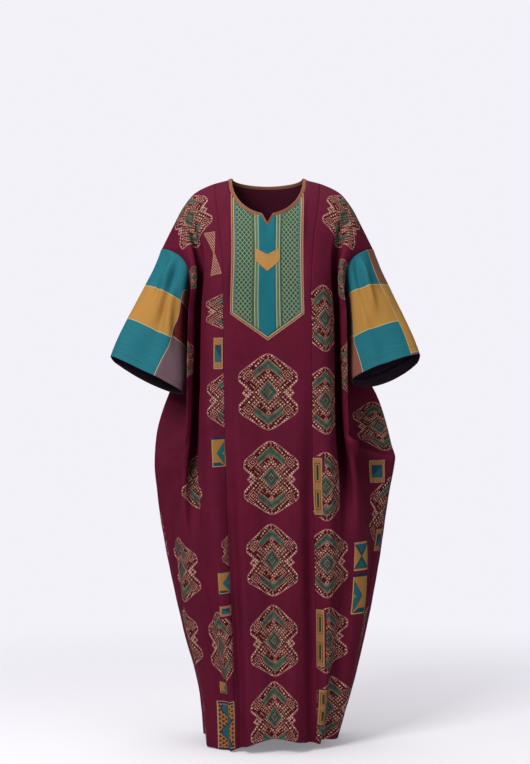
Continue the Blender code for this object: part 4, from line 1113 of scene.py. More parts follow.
def beads(paint, x, y, mask, colour=PINK_LIGHT):
    p, q = (x + y) * DIAGONAL, (x - y) * DIAGONAL
    paint.lay(colour, p.from_multiple(BEADS).most(q.from_multiple(BEADS)).below(0.27 * BEADS) * mask)


def medallion_edge(x, y):
    """How far outside the medallion's stepped outline a point lies; negative inside."""
    slant = (y + x * MEDALLION_SLOPE) * MEDALLION_SLOPE_UNIT - MEDALLION_END
    ends = slant.round_most(y - MEDALLION_HALF_LONG, 0.012)
    sides = (x - MEDALLION_HALF_WIDE).round_most((x - y - WAIST) * DIAGONAL, 0.004)
    return sides.round_most(ends, 0.012).round_least((abs(x - TIP_PLACE) + y - TIP_HALF) * DIAGONAL, 0.003)


def medallion(name):
    """The large stepped medallion: wide lobes beside a green diamond, filled with dashes."""
    paint = wine_ground(name)
    x, y = paint.wobbled(0.0012)
    ax, ay = abs(x), abs(y)
    edge = medallion_edge(ax, ay)
    inside = edge.below(0.0)
    paint.lay(BRICK, inside)
    dashes(paint, x, y, edge.below(-0.0072), DASHES)
    paint.lay(PINK, edge.between(-0.0015, 0.0003) * 0.75)
    beads(paint, x, y, edge.between(-0.0052, -0.0010))

    cap = (ax * 0.80 + ay - 0.0900) * 0.78
    roof = ax.below(0.0370)
    lozenge = ax + abs(ay - 0.0520)
    paint.lay_all(
        (BRICK, cap.between(-0.0280, -0.0050) * roof * inside),
        (TAN_LINE, cap.between(-0.0232, -0.0062) * roof),
        (MOSS, cap.between(-0.0218, -0.0076) * ax.below(0.0352)),
        (MOSS_DARK, cap.between(-0.0156, -0.0136) * ax.below(0.0330)),
        (MOSS_DARK, cap.between(-0.0108, -0.0098) * ax.below(0.0230)),
        (PINK, lozenge.below(0.0062)),
        (BRICK, lozenge.below(0.0036)),
    )
    ray = abs((ay - ax * 0.92 + 0.0020) * 0.74)
    paint.lay_all((BRICK, ray.below(0.0070) * inside), (TAN_LINE, ray.between(0.0050, 0.0064) * inside))
    beads(paint, x, y, ray.below(0.0040) * inside)

    band = ax + ay * 0.80
    paint.lay_all((BRICK, band.below(0.0390)), (TAN_LINE, band.between(0.0366, 0.0380)))
    beads(paint, x, y, band.between(0.0268, 0.0350))
    mesh = (x + y * 0.8).from_multiple(0.0092).least((x - y * 0.8).from_multiple(0.0092))
    lobe = abs(ax - 0.0490) + abs(ay - 0.0430)
    worn = paint.noise(0.013, 0.013, 3.0, 5.0).above(0.52, 0.20)
    paint.lay_all(
        (PINK, band.between(0.0232, 0.0248)),
        (MOSS, band.below(0.0224)),
        (MOSS_DARK, band.below(0.0208) * mesh.above(0.0014)),
        (TAN_LINE, band.between(0.0070, 0.0084) * 0.7),
        (BRICK, lobe.below(0.0170) * inside),
        (PINK, lobe.between(0.0110, 0.0130) * inside),
        (PINK, lobe.between(0.0040, 0.0058) * inside),
        (WINE_DARK, inside * worn * 0.50),
    )
    paint.raise_by(inside * 0.00020)
    return paint.finish()


def frame_of(x, y, half_wide, half_long):
    """How far outside a rectangle a point lies; negative inside."""
    return (abs(x) - half_wide).most(abs(y) - half_long)


def block(name, half_wide, half_long, field, speck=GOLD_THREAD):
    """A speckled rectangle with a pale edge: its paint, its coordinates and how far outside it a point is."""
    paint = wine_ground(name)
    x, y = paint.wobbled(0.0008)
    rim = frame_of(x, y, half_wide, half_long)
    paint.lay(field, rim.below(0.0))
    specks = x.from_multiple(0.0042).below(0.0009) * y.from_multiple(0.0048).below(0.0012)
    paint.lay(speck, specks * rim.below(0.0) * 0.6)
    paint.lay(PALE_LINE, rim.between(-0.0015, -0.0005) * 0.6)
    return paint, x, y, rim


def inset_block(name):
    paint, x, y, _ = block(name, 0.0160, 0.0385, TAN_FIELD)
    inner = frame_of(x, y, 0.0088, 0.0190)
    corner = inner.below(0.0) * (x * 1.3 + y).above(0.0)
    paint.lay_all((NAVY, inner.below(0.0016)), (INSET_DARK, inner.below(0.0)), (INSET, corner))
    return paint.finish()


def hourglass_block(name):
    """Two blue-green triangles that meet on a gold field, with a navy band at each end."""
    paint, x, y, _ = block(name, 0.0175, 0.0380, GOLD_FIELD)
    reach = abs(x) * 1.9 - abs(y)
    layers = ((NAVY, 0.0014, 0.0325), (INSET_DARK, -0.0010, 0.0310), (INSET, -0.0080, 0.0310))
    for colour, edge, end in layers:
        paint.lay(colour, reach.below(edge) * abs(y).below(end))
    return paint.finish()


def zigzag_block(name):
    """A blue-green snake down a speckled tan field, between navy ends, with brick specks."""
    paint, x, y, rim = block(name, 0.0190, 0.0560, TAN_FIELD)
    core = frame_of(x, y, 0.0170, 0.0480).below(0.0)
    beads(paint, x, y, core, BRICK)
    away = abs(x - (y * 118.0).do("SINE") * 0.0070)
    ends = abs(y).between(0.0500, 0.0540) * rim.below(-0.0016)
    paint.lay_all((NAVY, away.below(0.0068) * core), (INSET, away.below(0.0048) * core), (NAVY, ends))
    return paint.finish()


def step_block(name):
    """Blue-green and gold corners on a tan field, under a navy band."""
    paint, x, y, rim = block(name, 0.0175, 0.0350, GOLD_FIELD, TAN_FIELD)
    slant, fall = x * 1.2, abs(y - 0.004)
    corner = slant + fall * 0.9
    core = rim.below(-0.0040)
    paint.lay_all(
        (NAVY, corner.below(0.0072) * rim.below(-0.0030)),
        (INSET, corner.below(0.0058) * core),
        (GOLD_FIELD, (slant + fall * 1.4 + 0.0110).below(0.0) * core),
        (INSET_DARK, y.above(0.0250) * (x * 0.6 + y).above(0.0240) * rim.below(-0.0020)),
        (NAVY, y.below(-0.0290) * rim.below(0.0)),
    )
    return paint.finish()




def tan_strip(name):
    """A narrow tan strip with a gold core, beside a seam."""
    paint, x, y, _ = block(name, 0.0120, 0.0700, TAN_FIELD)
    core = frame_of(x, abs(y) - 0.034, 0.0060, 0.0220)
    for colour, edge in ((BRICK, 0.0016), (GOLD_FIELD, 0.0), (MOSS_DARK, -0.0030)):
        paint.lay(colour, core.below(edge))
    return paint.finish()


def spindle(name):
    """Two striped triangles that meet in a narrow waist."""
    paint = wine_ground(name)
    x, y = paint.wobbled(0.0014)
    edge = (abs(x + y * 0.10) - abs(y) * 0.34 - 0.0022).most(abs(y) - 0.0580)
    stripes = edge.below(-0.0004) * (abs(y) + x * 0.9).from_multiple(0.0066).below(0.0011)
    paint.lay_all((BRICK, edge.below(0.0)), (PINK, stripes), (TAN_LINE, edge.between(-0.0016, -0.0002)))
    return paint.finish()


# ---------------------------------------------------------------- where the motifs lie

# Each kind's maker, and the half width and half length of cloth that it covers.
MOTIF_KINDS = {
    "medallion": (medallion, 0.0740, 0.0955),
    "inset": (inset_block, 0.0165, 0.0390),
    "hourglass": (hourglass_block, 0.0180, 0.0385),
    "zigzag": (zigzag_block, 0.0195, 0.0565),
    "step": (step_block, 0.0180, 0.0355),
    "seam_strip": (tan_strip, 0.0125, 0.0705),
    "spindle": (spindle, 0.0290, 0.0585),
}

# Each motif's place across the piece, from its middle or, on a side panel, outward from the seam; its place
# down from the armpits; and how much it is stretched each way.
MOTIFS = {
    "front_centre": {
        "medallion": (
            (0.0, 0.194, 1.0, 1.0), (0.004, 0.407, 0.94, 0.96), (0.0, 0.611, 0.88, 0.94),
            (-0.001, 0.81, 0.85, 0.93), (-0.004, 0.999, 0.85, 0.92),
        ),
    },
    "front_side_right": {
        "medallion": (
            (0.073, -0.231, 0.82, 0.82), (0.18, -0.062, 0.5, 0.3), (0.3, 0.105, 0.74, 0.5),
            (0.14, 0.404, 0.8, 0.8), (0.16, 0.59, 0.88, 0.86), (0.17, 0.75, 0.9, 0.84),
            (0.172, 0.938, 0.86, 0.84), (-0.014, -0.006, 0.84, 0.5), (-0.014, 0.213, 0.8, 0.76),
            (-0.01, 0.584, 0.42, 0.46), (0.036, 0.82, 0.62, 0.94),
        ),
        "spindle": ((0.0225, -0.15, 0.68, 1.0),),
        "inset": ((0.0135, 0.097, 0.72, 1.0), (0.016, 0.731, 1.0, 0.32)),
        "step": ((0.0165, 0.34, 1.0, 1.05), (0.016, 0.66, 0.95, 0.8), (0.043, 0.922, 0.95, 0.44)),
        "zigzag": ((0.033, 1.018, 1.7, 1.1),),
    },
    "front_side_left": {
        "medallion": (
            (0.073, -0.231, 0.82, 0.82), (0.184, -0.052, 0.6, 0.55), (0.3, 0.125, 0.78, 0.7),
            (0.47, 0.272, 0.84, 0.7), (0.31, 0.402, 0.85, 1.0), (0.23, 0.722, 0.8, 0.88),
            (0.23, 0.937, 0.8, 0.88), (0.034, 0.01, 0.8, 0.88), (0.034, 0.214, 0.86, 0.88),
            (0.034, 0.425, 0.88, 0.9), (0.036, 0.614, 0.95, 0.9), (0.035, 0.803, 1.0, 0.86),
            (0.046, 0.981, 1.0, 0.88),
        ),
        "seam_strip": ((0.013, 0.425, 1.0, 1.0), (0.013, 0.798, 1.0, 1.0), (0.017, 0.97, 1.0, 0.64)),
        "inset": ((0.351, 0.3598, 1.3, 0.77), (0.262, 0.48, 1.0, 0.72)),
        "hourglass": ((0.1478, 0.5738, 1.24, 0.93),),
        "step": ((0.1387, 0.666, 1.2, 1.45),),
    },
    "back": {
        "medallion": tuple(
            (across, along * 0.2035 - 0.236, 0.96, 0.98)
            for across in (-0.42, -0.21, 0.0, 0.21, 0.42)
            for along in range(8)
        ),
    },
}


def about(cloth, place):
    """How far each point is from a place, measured along the cloth's own row and column from it."""
    away = cloth.flat - place
    row, column = np.unravel_index(np.argmin((away**2).sum(axis=2)), away.shape[:2])
    turn = np.sign(cloth.flat[row, -1, 0] - cloth.flat[row, 0, 0])
    across, down = turn * runs(cloth.points, 1), runs(cloth.points, 0)
    return np.stack([across - across[:, [column]], down - down[[row]]], -1) + away[row, column]


class Marks:
    """Which material each outer face of a piece takes, and where its corners lie in the motif on it."""

    def __init__(self, piece, cloth):
        face = grid_faces(*cloth.points.shape[:2])
        self.kinds = list(MOTIFS[piece])
        self.material = np.zeros(len(face), int)
        self.local = np.zeros((len(face), 4, 2))
        for number, kind in enumerate(self.kinds):
            for across, along, wide, long in MOTIFS[piece][kind]:
                corners = (about(cloth, (across, along)) / (wide, long)).reshape(-1, 2)[face]
                near = (np.abs(corners) < MOTIF_KINDS[kind][1:]).all(axis=2).any(axis=1)
                self.material[near] = 1 + number
                self.local[near] = corners[near]

    def materials(self, made):
        return [made[name] for name in ("wine_cloth", *self.kinds, "wine_reverse")]


# ---------------------------------------------------------------- the check cloth of the sleeves

# Each strip's start and end round the sleeve, from its top fold towards the front; where its blocks part, up
# from the cuff; and their colours. The lean is how much a strip turns round for each metre along it.
CHECKS = {
    -1: (
        (-0.012, 0.177, (-0.010, 0.106, 0.204, 0.360), (TEAL, GOLD, TEAL)),
        (0.177, 0.330, (-0.010, 0.112, 0.204, 0.360), (PLUM, WINE_RED, BROWN)),
        (-0.160, -0.012, (-0.010, 0.106, 0.204, 0.360), (PLUM, TEAL, GOLD)),
        (-0.330, -0.160, (-0.010, 0.106, 0.204, 0.360), (TEAL, BROWN, WINE_RED)),
    ),
    1: (
        (0.040, 0.176, (-0.010, 0.094, 0.200, 0.360), (TEAL, GOLD, TEAL)),
        (0.176, 0.330, (-0.010, 0.100, 0.200, 0.360), (BROWN, PLUM, WINE_RED)),
        (-0.096, 0.040, (-0.010, 0.006, 0.200, 0.360), (PLUM, GOLD, BROWN)),
        (-0.330, -0.096, (-0.010, 0.094, 0.200, 0.360), (WINE_RED, TEAL, PLUM)),
    ),
}
CHECK_LEAN = {-1: 0.11, 1: -0.04}
CHECK_LINE = 0.0008       # half the pale line between two blocks


def check_cloth(side):
    """Hand-woven strips of plain blocks, with a pale line round each block."""
    paint = Paint("check_cloth_" + SIDES[side], TEAL, 0.70)
    for start, end, parts, colours in CHECKS[side]:
        for low, high, colour in zip(parts, parts[1:], colours):
            x, y = paint.u - (start + end) / 2, paint.v - (low + high) / 2
            rim = frame_of(x, y, (end - start) / 2, (high - low) / 2)
            paint.lay_all((PALE_LINE, rim.below(0.0)), (colour, rim.below(-CHECK_LINE)))
    streaks(paint, CHECK_SHADE, CHECK_LIGHT, 0.06)
    weave(paint, 0.0013, 0.00005)
    return paint.finish()


def sleeve_flat(side, cloth):
    """A sleeve's flat coordinates: round it from its top fold, towards the front, and up from the cuff."""
    away, down = cloth.flat[:, :, 0], cloth.flat[:, :, 1]
    columns = cloth.points.shape[1]
    behind = np.arange(columns) > columns // 2
    return np.stack([away + CHECK_LEAN[side] * down - behind * away[:, [-1]], down[-1] - down], -1)


# ---------------------------------------------------------------- what lies on the front's centre

class Chest:
    """The front centre panel, read at any distance from its middle and any height."""

    def __init__(self, cloth, widths):
        self.cloth, self.widths = cloth, widths

    def column(self, index, z):
        points, normals = self.cloth.points[:, index], self.cloth.normals[:, index]
        line = np.hstack([points[:, :2], normals])
        x, y, *normal = (np.interp(-z, -points[:, 2], values) for values in line.T)
        return np.array([x, y, z, *normal])

    def at(self, width, z):
        """The point and direction of the cloth's outer face."""
        index = int(np.clip(np.searchsorted(self.widths, width) - 1, 0, len(self.widths) - 2))
        t = (width - self.widths[index]) / (self.widths[index + 1] - self.widths[index])
        a, b = self.column(index, z), self.column(index + 1, z)
        point, normal = np.split(a + t * (b - a), 2)
        return point, normal / np.linalg.norm(normal)

    def top(self, width):
        """The height of the neck seam."""
        return float(np.interp(width, self.widths, self.cloth.points[0, :, 2]))

    def patch(self, widths, top, low, rows, lift):
        """A stretch of cloth between two edges, given as heights at a width, lifted off the panel."""
        heights = np.array([np.linspace(top(width), low(width), rows) for width in widths]).T
        grid = np.array([[self.at(width, z) for width, z in zip(widths, row)] for row in heights])
        points, normals = grid[:, :, 0], grid[:, :, 1]
        flat = np.stack([np.broadcast_to(widths, heights.shape), points[:, :, 2]], -1)
        return Cloth(points, normals, flat).moved(lift)


def point_height(width):
    """The height of the bib's lower edge at a width."""
    return BIB_POINT_Z + BIB_RISE * min(abs(width), BIB_HALF)


def above_border(width):
    """The height at which what lies within the bib's border ends."""
    return point_height(width) + BORDER_FALL + BORDER_CLEAR


def plate(chest, name, half, end, lift, material, slot):
    """A thin piece from the neck seam down to the height that end gives."""
    widths = np.linspace(-half, half, round(2 * half / PLATE_STEPS[0]) + 1)
    rows = round((chest.top(0.0) - end(0.0)) / PLATE_STEPS[1]) + 1
    cloth = chest.patch(widths, chest.top, end, rows, lift + BIB_SHELL)
    piece = cloth_piece(name + "_cloth", cloth, BIB_SHELL, [material], slot)
    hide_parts(name)
    declare(piece)


class Cords:
    """Many half-round cords, joined in one mesh."""

    def __init__(self, half_width, height):
        self.half_width, self.height = half_width, height
        self.points, self.faces, self.flat = [], [], []

    def add(self, path, normals):
        """One cord along a path that lies on the cloth."""
        path, normals = np.asarray(path), np.asarray(normals)
        forward = np.gradient(path, axis=0)
        forward /= np.linalg.norm(forward, axis=1, keepdims=True)
        aside = np.cross(normals, forward)
        aside /= np.linalg.norm(aside, axis=1, keepdims=True)
        turns = np.linspace(0.0, math.pi, CORD_SIDES)
        first = len(self.points)
        for point, side, normal, at in zip(path, aside, normals, run_along(path)):
            for turn in turns:
                place = side * math.cos(turn) * self.half_width + normal * math.sin(turn) * self.height
                self.points.append(point + place)
                self.flat.append((turn / math.pi * 2 * self.half_width, at))
        for here in range(first, len(self.points) - CORD_SIDES, CORD_SIDES):
            there = here + CORD_SIDES
            for k in range(CORD_SIDES):
                after = (k + 1) % CORD_SIDES
                self.faces.append((here + k, here + after, there + after, there + k))
        self.faces.append(tuple(range(first, first + CORD_SIDES))[::-1])
        self.faces.append(tuple(range(len(self.points) - CORD_SIDES, len(self.points))))

    def piece(self, name, material, slot):
        flat = [self.flat[corner] for face in self.faces for corner in face]
        return add_piece(name, self.points, self.faces, flat, [material], slot)


def chest_cord(cords, chest, places, lift):
    found = [chest.at(width, z) for width, z in places]
    cords.add([point + normal * lift for point, normal in found], [normal for _, normal in found])


def side_line(chest, width, end):
    top = chest.top(width)
    return [(width, z) for z in np.linspace(top, end, round((top - end) / CORD_STEP))]


def border_line(chest, inset):
    """Places round the bib's edge, inset metres inside it, from one top corner to the other."""
    side, rise = BIB_HALF - inset, inset * POINT_SLOPE
    slant = [(-width, point_height(width) + rise) for width in np.linspace(side, 0.0, SLANT_POINTS)[1:]]
    half = side_line(chest, -side, point_height(side) + rise) + slant
    return half + [(-width, z) for width, z in half[-2::-1]]


def trellis_lines(chest):
    """Slanting cords one way and the other, within each side of the bib."""
    count = int((chest.top(TRELLIS_OUTER) - TRELLIS_START) / TRELLIS_TALL) + 4
    widths = np.linspace(TRELLIS_INNER, TRELLIS_OUTER, TRELLIS_POINTS)
    rise = TRELLIS_TALL / TRELLIS_WIDE * (widths - TRELLIS_INNER)
    for side, way, k in ((side, way, k) for side in (-1, 1) for way in (-1, 1) for k in range(count)):
        line = [
            (side * width, z) for width, z in zip(widths, TRELLIS_START + k * TRELLIS_TALL + way * rise)
            if point_height(width) + BORDER_FALL + TRELLIS_CLEAR < z < chest.top(side * width) - NECK_CLEAR
        ]
        if len(line) > TRELLIS_STEP:
            yield line[:-1:TRELLIS_STEP] + line[-1:]


def bib_ground():
    """The bib's own cloth: dark spots between the cords, a blue-green ladder outside them and a dark column
    inside, and the border's dark red base."""
    paint = Paint("bib_ground", BIB_GREEN, 0.70)
    width, z = abs(paint.u), paint.v
    across, up = (width - TRELLIS_INNER) * (1 / TRELLIS_WIDE), (z - TRELLIS_START) * (1 / TRELLIS_TALL)
    cells = (up + across).from_multiple(1.0).least((up - across).from_multiple(1.0))
    ladder, column = width.between(TRELLIS_OUTER, BORDER_INNER), width.between(INNER_BRAID, TRELLIS_INNER)
    rise = (z - point_height(0.0) - width * BIB_RISE) * (1 / POINT_SLOPE)
    inset = (width * -1.0 + BIB_HALF).least(rise)
    paint.lay_all(
        (BIB_DARK, cells.above(0.20, 0.06)),
        (BIB_BLUE, ladder),
        (BIB_DARK, ladder * z.from_multiple(0.0072).below(0.0014) * 0.8),
        (BIB_DARK, column),
        (BIB_GREEN, column * z.from_multiple(0.0050).below(0.0007)),
        (BORDER_RED, inset.below(BIB_HALF - BORDER_INNER)),
    )
    streaks(paint, BIB_DARK, TRELLIS, 0.15)
    weave(paint, WEAVE, 0.00005)
    return paint.finish()


def chevron_paint():
    paint = Paint("chevron_gold", CHEVRON_GOLD, 0.60)
    grain = paint.u.from_multiple(0.0034).below(0.0007).most(paint.v.from_multiple(0.0034).below(0.0007))
    paint.lay(CHEVRON_LIGHT, grain * 0.35)
    streaks(paint, GOLD_DARK, CHEVRON_LIGHT, 0.30)
    paint.raise_by(grain * 0.00012)
    return paint.finish()


def chevron_edge(share, width):
    """The chevron's height at a width, from its upper edge at share 0 to its lower one at 1."""
    ends, fall = (pair[0] + share * (pair[1] - pair[0]) for pair in (CHEVRON_Z, CHEVRON_FALL))
    return ends - (1.0 - abs(width) / INNER_BRAID) * fall


def chevron(chest, material, cord_material):
    top, low = (lambda width: chevron_edge(0.0, width)), (lambda width: chevron_edge(1.0, width))
    columns, rows, down = CHEVRON_POINTS
    widths = np.linspace(-INNER_BRAID, INNER_BRAID, columns)
    cloth = chest.patch(widths, top, low, rows, ON_BRAID + CHEVRON_THICK)
    piece = cloth_piece("bib_chevron_cloth", cloth, CHEVRON_THICK, [material], "gold_applique")
    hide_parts("bib_chevron")
    declare(piece)
    inner = INNER_BRAID - CHEVRON_INSET
    lines = [[(width, share) for width in np.linspace(-inner, inner, columns)] for share in CHEVRON_SHARES]
    lines += [[(end, share) for share in np.linspace(*CHEVRON_SHARES, down)] for end in (-inner, inner)]
    edges = Cords(*CHEVRON_CORD)
    for line in lines:
        places = [(width, chevron_edge(share, width)) for width, share in line]
        chest_cord(edges, chest, places, ON_BRAID + CHEVRON_THICK)
    edges.piece("bib_chevron_edge", cord_material, "gold_applique")


def bib(chest, paints):
    plate(chest, "bib", BIB_HALF, point_height, BIB_LIFT, paints["bib_ground"], "lattice_embroidery")
    plate(chest, "bib_strip", STRIP_HALF, above_border, ON_BIB, paints["strip_teal"], "teal_strip")
    gap = (INNER_BRAID - STRIP_HALF) / 3
    for side, name in SIDES.items():
        for number, colour in enumerate(("braid_cream", "braid_green", "braid_cream")):
            width = side * (STRIP_HALF + gap * (number + 0.5))
            cords = Cords(BRAID_SHARE * gap, BRAID_HEIGHT)
            chest_cord(cords, chest, side_line(chest, width, above_border(width)), ON_BIB)
            piece = cords.piece(f"bib_braid_{name}_cord_{number + 1}", paints[colour], "braid")
            if number == 1:
                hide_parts("bib_braid_" + name)
    for name, (inset, colour) in BORDER_INSETS.items():
        cords = Cords(*BORDER_CORD)
        chest_cord(cords, chest, border_line(chest, inset), ON_BIB)
        piece = cords.piece("bib_border_" + name, paints[colour], "braid")
        if name == "outer":
            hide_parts("bib_border")
    trellis = Cords(*TRELLIS_CORD)
    for line in trellis_lines(chest):
        chest_cord(trellis, chest, line, ON_BIB)
    trellis.piece("bib_trellis", paints["trellis_thread"], "lattice_embroidery")
    chevron(chest, paints["chevron"], paints["chevron_edge"])


# ---------------------------------------------------------------- neck binding

def neck_loop(front, back, places):
    """The neck seam and the neck's own edge, all the way round, with the cloth's directions."""
    across = both_halves(places)
    neck = (across >= 1.0 - 1e-9).nonzero()[0][:-1]
    loops = []
    for panel, cloth in (("front", front), ("back", back)):
        sides = panel_sides(panel, places)
        edge = shoulder_and_neck(panel, across, np.where(sides == 0, 1.0, sides), edge=1.0)
        loops.append((cloth.points[0, neck], edge[neck], cloth.normals[0, neck]))
    return [np.vstack(parts) for parts in zip(*loops)]


def neck_binding(seam, edge, normals, material):
    """The bias strip: a rounded fold over the neck's edge, a little thicker than the cloth on both faces."""
    around = []
    for turn in np.linspace(0.0, 2 * math.pi, BINDING_SIDES, endpoint=False):
        along = 0.44 + 0.56 * math.copysign(abs(math.cos(turn)) ** 0.5, math.cos(turn))
        rise = math.copysign(abs(math.sin(turn)) ** 0.8, math.sin(turn))
        around.append((along, rise * (BINDING_STANDS + WALL / 2) - WALL / 2))
    points = np.stack([seam + share * (edge - seam) + height * normals for share, height in around], 1)
    run = run_along(seam)
    ends = [*run[1:], run[-1] + 0.004]
    faces, flat = [], []
    for i, (start, end) in enumerate(zip(run, ends)):
        here, there = i * BINDING_SIDES, (i + 1) % len(seam) * BINDING_SIDES
        for k in range(BINDING_SIDES):
            after = (k + 1) % BINDING_SIDES
            faces.append((here + k, there + k, there + after, here + after))
            left, right = k * BINDING_STEP, (k + 1) * BINDING_STEP
            flat += [(left, start), (left, end), (right, end), (right, start)]
    piece = add_piece("neck_binding_cloth", points.reshape(-1, 3), faces, flat, [material], "tan_binding")
    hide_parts("neck_binding")
    declare(piece)


def binding_paint():
    """A bias strip's fine slanting ribs."""
    paint = Paint("binding_brown", BINDING_BROWN, 0.68)
    ribs = (paint.v + paint.u).from_multiple(0.0016)
    paint.lay(BINDING_DARK, ribs.below(0.0003, 0.0004) * 0.7)
    streaks(paint, BINDING_DARK, TAN_LINE, 0.35)
    paint.raise_by(ribs * 0.25)
    return paint.finish()


# ---------------------------------------------------------------- stitches, hems and seams

def stitch(cords, line, normals):
    """Running stitches along a line of points: short threads that lie on the cloth."""
    run = run_along(line)
    bow = np.array([[-0.5], [0.35], [-0.5]]) * THREAD
    for start in np.arange(0.3 * STITCH_PITCH, run[-1] - STITCH_PITCH, STITCH_PITCH):
        at = start + np.array([0.0, 0.5, 1.0]) * STITCH_SHARE * STITCH_PITCH
        path, out = (
            np.stack([np.interp(at, run, column) for column in values.T], 1) for values in (line, normals)
        )
        out /= np.linalg.norm(out, axis=1, keepdims=True)
        cords.add(path + out * bow, out)


def rows_above_hem(cloth, distance):
    """How many of the lowest rows lie within a distance of the lower edge."""
    down = cloth.flat[:, cloth.points.shape[1] // 2, 1]
    return int((abs(down[-1] - down) < distance).sum())


def hem(name, cloth, distance, stitches, material, slot, **how):
    """The part of a hem that is turned up inside, and the running stitches that show outside."""
    row = -rows_above_hem(cloth, distance - HEM_STITCH_INSET)
    stitch(stitches, cloth.points[row], cloth.normals[row])
    count = rows_above_hem(cloth, distance)
    clear = HEM_CLEAR * np.linspace(1.0, 0.0, count)[:, None]
    part = cloth.part(slice(-count, None), slice(None)).moved(-CLOTH - clear)
    return cloth_piece(name, part, CLOTH, [material], slot, **how)


def allowance(name, cloth, edge, material):
    """A seam allowance: a narrow strip inside, beside the seam along a piece's first or last column."""
    across = cloth.flat[cloth.points.shape[0] // 2, :, 0]
    near = np.nonzero(np.abs(across - across[edge]) < ALLOWANCE)[0]
    strip = cloth.part(ALLOWANCE_ROWS, slice(near[0], near[-1] + 1)).moved(-CLOTH - SEAM_CLEAR)
    return cloth_piece(name, strip, ALLOWANCE_THICK, [material], "wine_cloth")


# ---------------------------------------------------------------- floor, light and camera

def place(name, data, location=(0.0, 0.0, 0.0), turn=(0.0, 0.0, 0.0)):
    made = bpy.data.objects.new(name, data)
    made.location = location
    made.rotation_euler = turn
    bpy.context.scene.collection.objects.link(made)
    return made


def mix_shaders(tree, factor, first, second, output):
    """Shows the first shader where the factor is 0 and the second where it is 1."""
    mixed = add_node(tree, "MixShader", {"Fac": factor, 1: first, 2: second})
    feed(tree.nodes[output], {"Surface": mixed.outputs[0]})


def floor():
    """A pale floor that fades into the room at a distance."""
    mesh = bpy.data.meshes.new("floor")
    z = cad_low[2] - FLOOR_GAP
    corners = [(x * FLOOR_HALF, y * FLOOR_HALF, z) for x, y in ((-1, -1), (1, -1), (1, 1), (-1, 1))]
    mesh.from_pydata(corners, [], [(0, 1, 2, 3)])
    paper = bpy.data.materials.new("floor_paper")
    paper.use_nodes = True
    tree = paper.node_tree
    shader = tree.nodes["Principled BSDF"]
    feed(shader, {"Base Color": FLOOR_COLOUR, "Roughness": 0.9, "Specular IOR Level": 0.1})
    spot = add_node(tree, "NewGeometry").outputs["Position"]
    reach = add_node(tree, "VectorMath", {0: spot}, operation="LENGTH").outputs["Value"]
    feeds = {"From Min": FLOOR_NEAR, "From Max": FLOOR_FAR, "Value": reach}
    fade = add_node(tree, "MapRange", feeds, interpolation_type="SMOOTHSTEP").outputs["Result"]
    clear = add_node(tree, "BsdfTransparent").outputs[0]
    mix_shaders(tree, fade, shader.outputs[0], clear, "Material Output")
    mesh.materials.append(paper)
    place("floor", mesh)


def studio():
    """Soft light from three large lamps and, more faintly, from the pale room that the camera sees."""
    world = bpy.data.worlds.new("studio")
    world.use_nodes = True
    tree = world.node_tree
    seen = tree.nodes["Background"]
    feed(seen, {"Color": ROOM_COLOUR})
    shed = add_node(tree, "Background", {"Color": ROOM_COLOUR, "Strength": ROOM_LIGHT}).outputs[0]
    direct = add_node(tree, "LightPath").outputs["Is Camera Ray"]
    mix_shaders(tree, direct, shed, seen.outputs[0], "World Output")
    bpy.context.scene.world = world
    for name, (spot, size, power) in LAMPS.items():
        light = bpy.data.lights.new(name, "AREA")
        light.size = size
        light.energy = power
        toward = Vector(LAMP_AIM) - Vector(spot)
        place(name, light, spot, toward.to_track_quat("-Z", "Y").to_euler())


def camera():
    data = bpy.data.cameras.new("camera")
    data.sensor_fit = "VERTICAL"
    data.sensor_height = SENSOR
    data.lens = LENS
    bpy.context.scene.camera = place("camera", data, CAMERA_PLACE, (math.pi / 2, 0.0, 0.0))


# ---------------------------------------------------------------- the robe

WOVEN = (
    ("wine_plain", WINE, WINE_DARK, WINE_LIGHT),
    ("wine_reverse", WINE_BACK, WINE_DARK, WINE),
    ("check_reverse", CHECK_BACK, NIGHT, PLUM),
    ("strip_teal", TEAL, TEAL_DARK, TEAL_LIGHT),
)
# Each thread's name, its colour, the colour of the painted shade in its twist's grooves, and its twist.
THREADS = (
    ("braid_cream", BRAID_CREAM, BRAID_GREEN, 0.0030),
    ("braid_green", BRAID_GREEN, BIB_DARK, 0.0030),
    ("border_pink", BORDER_PINK, BORDER_RED, 0.0034),
    ("border_cream", BRAID_CREAM, BINDING_BROWN, 0.0034),
    ("trellis_thread", TRELLIS, BIB_GREEN, 0.0016),
    ("chevron_edge", CHEVRON_LIGHT, GOLD_DARK, 0.0016),
    ("wine_thread", WINE_LIGHT, WINE_DARK, 0.0010),
    ("cuff_thread", TEAL, TEAL_DARK, 0.0010),
)


def make_paints():
    """Every material but the check cloths."""
    paints = {"wine_cloth": wine_ground("wine_cloth").finish()}
    paints.update((row[0], woven_paint(*row)) for row in WOVEN)
    paints.update((row[0], cord_paint(*row)) for row in THREADS)
    paints.update(bib_ground=bib_ground(), chevron=chevron_paint(), binding=binding_paint())
    paints.update((kind, row[0](kind + "_print")) for kind, row in MOTIF_KINDS.items())
    return paints


def body_piece(name, cloth, paints, stitches):
    marks = Marks(name, cloth)
    piece = cloth_piece(name + "_cloth", cloth, CLOTH, marks.materials(paints), "wine_cloth", marks=marks)
    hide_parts(name)
    sewn = [hem(name + "_hem", cloth, BODY_HEM, stitches, paints["wine_plain"], "wine_cloth")]
    sewn += [allowance(f"{name}_allowance_{i + 1}", cloth, -i, paints["wine_reverse"]) for i in (0, 1)]
    declare(piece)


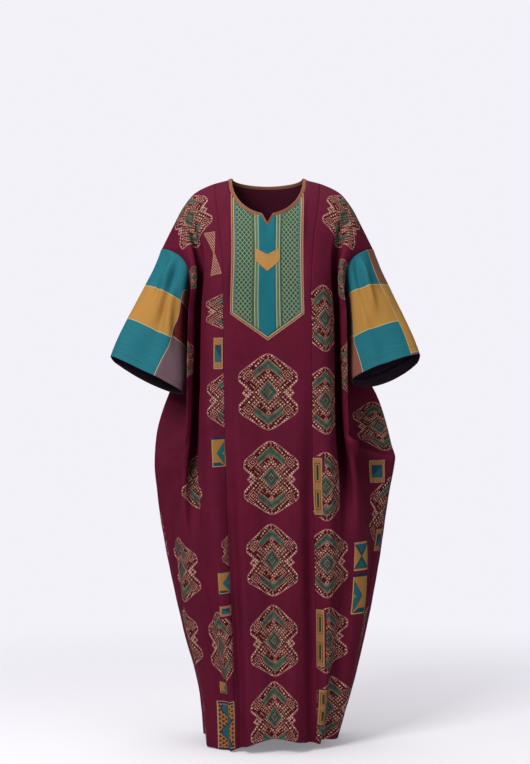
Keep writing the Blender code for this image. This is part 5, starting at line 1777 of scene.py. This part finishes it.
def sleeve_piece(side, cloth, paints, stitches):
    name = "sleeve_" + SIDES[side]
    checked = Cloth(cloth.points, cloth.normals, sleeve_flat(side, cloth))
    how = {"turn": -side, "rims": ("top", "low")}
    materials = [check_cloth(side), paints["check_reverse"]]
    piece = cloth_piece(name + "_cloth", checked, CLOTH, materials, "check_cloth", **how)
    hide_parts(name)
    cuff = hem(name + "_hem", checked, CUFF_HEM, stitches, paints["check_reverse"], "check_cloth", **how)
    weld(piece)
    weld(cuff)
    declare(piece)


def side_panel(front, span, sign, start):
    """A front side panel, its flat cloth measured outward from its seam."""
    cloth = front.part(slice(None), span)
    away = sign * (cloth.flat[:, :, 0] - cloth.flat[:, [start], 0])
    return Cloth(cloth.points, cloth.normals, np.stack([away, cloth.flat[:, :, 1]], -1))


def robe():
    upper = fine_rows(*UPPER, first=NEAR_EDGE)
    lower = fine_rows(*LOWER, last=NEAR_EDGE)
    along = fine_rows(*ALONG, first=NEAR_EDGE, last=NEAR_EDGE)
    places = fine_places()
    front, back = (body_cloth(panel, places, upper, lower) for panel in ("front", "back"))
    sleeves = {side: sleeve_cloth(side, upper, along) for side in SIDES}
    share_directions([front, back, *sleeves.values()])
    seam = int(np.argmin(np.abs(places - ACROSS_SIDE[-1])))
    columns = front.points.shape[1]
    middle = (slice(None), slice(seam, columns - seam))
    plain = Cloth(front.points.copy(), front.normals, front.flat)
    loop = neck_loop(front, back, places)
    sink_seams(front, back, sleeves, seam)

    paints = make_paints()
    stitches, cuff_stitches = Cords(THREAD, THREAD), Cords(THREAD, THREAD)
    right, left = slice(0, seam + 1), slice(columns - seam - 1, columns)
    for name, cloth in (
        ("front_side_right", side_panel(front, right, -1, seam)),
        ("front_side_left", side_panel(front, left, 1, 0)),
        ("front_centre", front.part(*middle)),
        ("back", back),
    ):
        body_piece(name, cloth, paints, stitches)
    for side, cloth in sleeves.items():
        sleeve_piece(side, cloth, paints, cuff_stitches)
    stitches.piece("hem_stitches", paints["wine_thread"], "wine_cloth")
    cuff_stitches.piece("cuff_stitches", paints["cuff_thread"], "check_cloth")

    half_widths = PANEL_HALF * (6.0 - np.interp(places[seam:], *MARKS["front"]))
    chest = Chest(plain.part(*middle), np.concatenate([-half_widths, half_widths[-2::-1]]))
    bib(chest, paints)
    neck_binding(*loop, paints["binding"])


robe()
floor()
studio()
camera()
bpy.context.scene.view_settings.view_transform = "Standard"
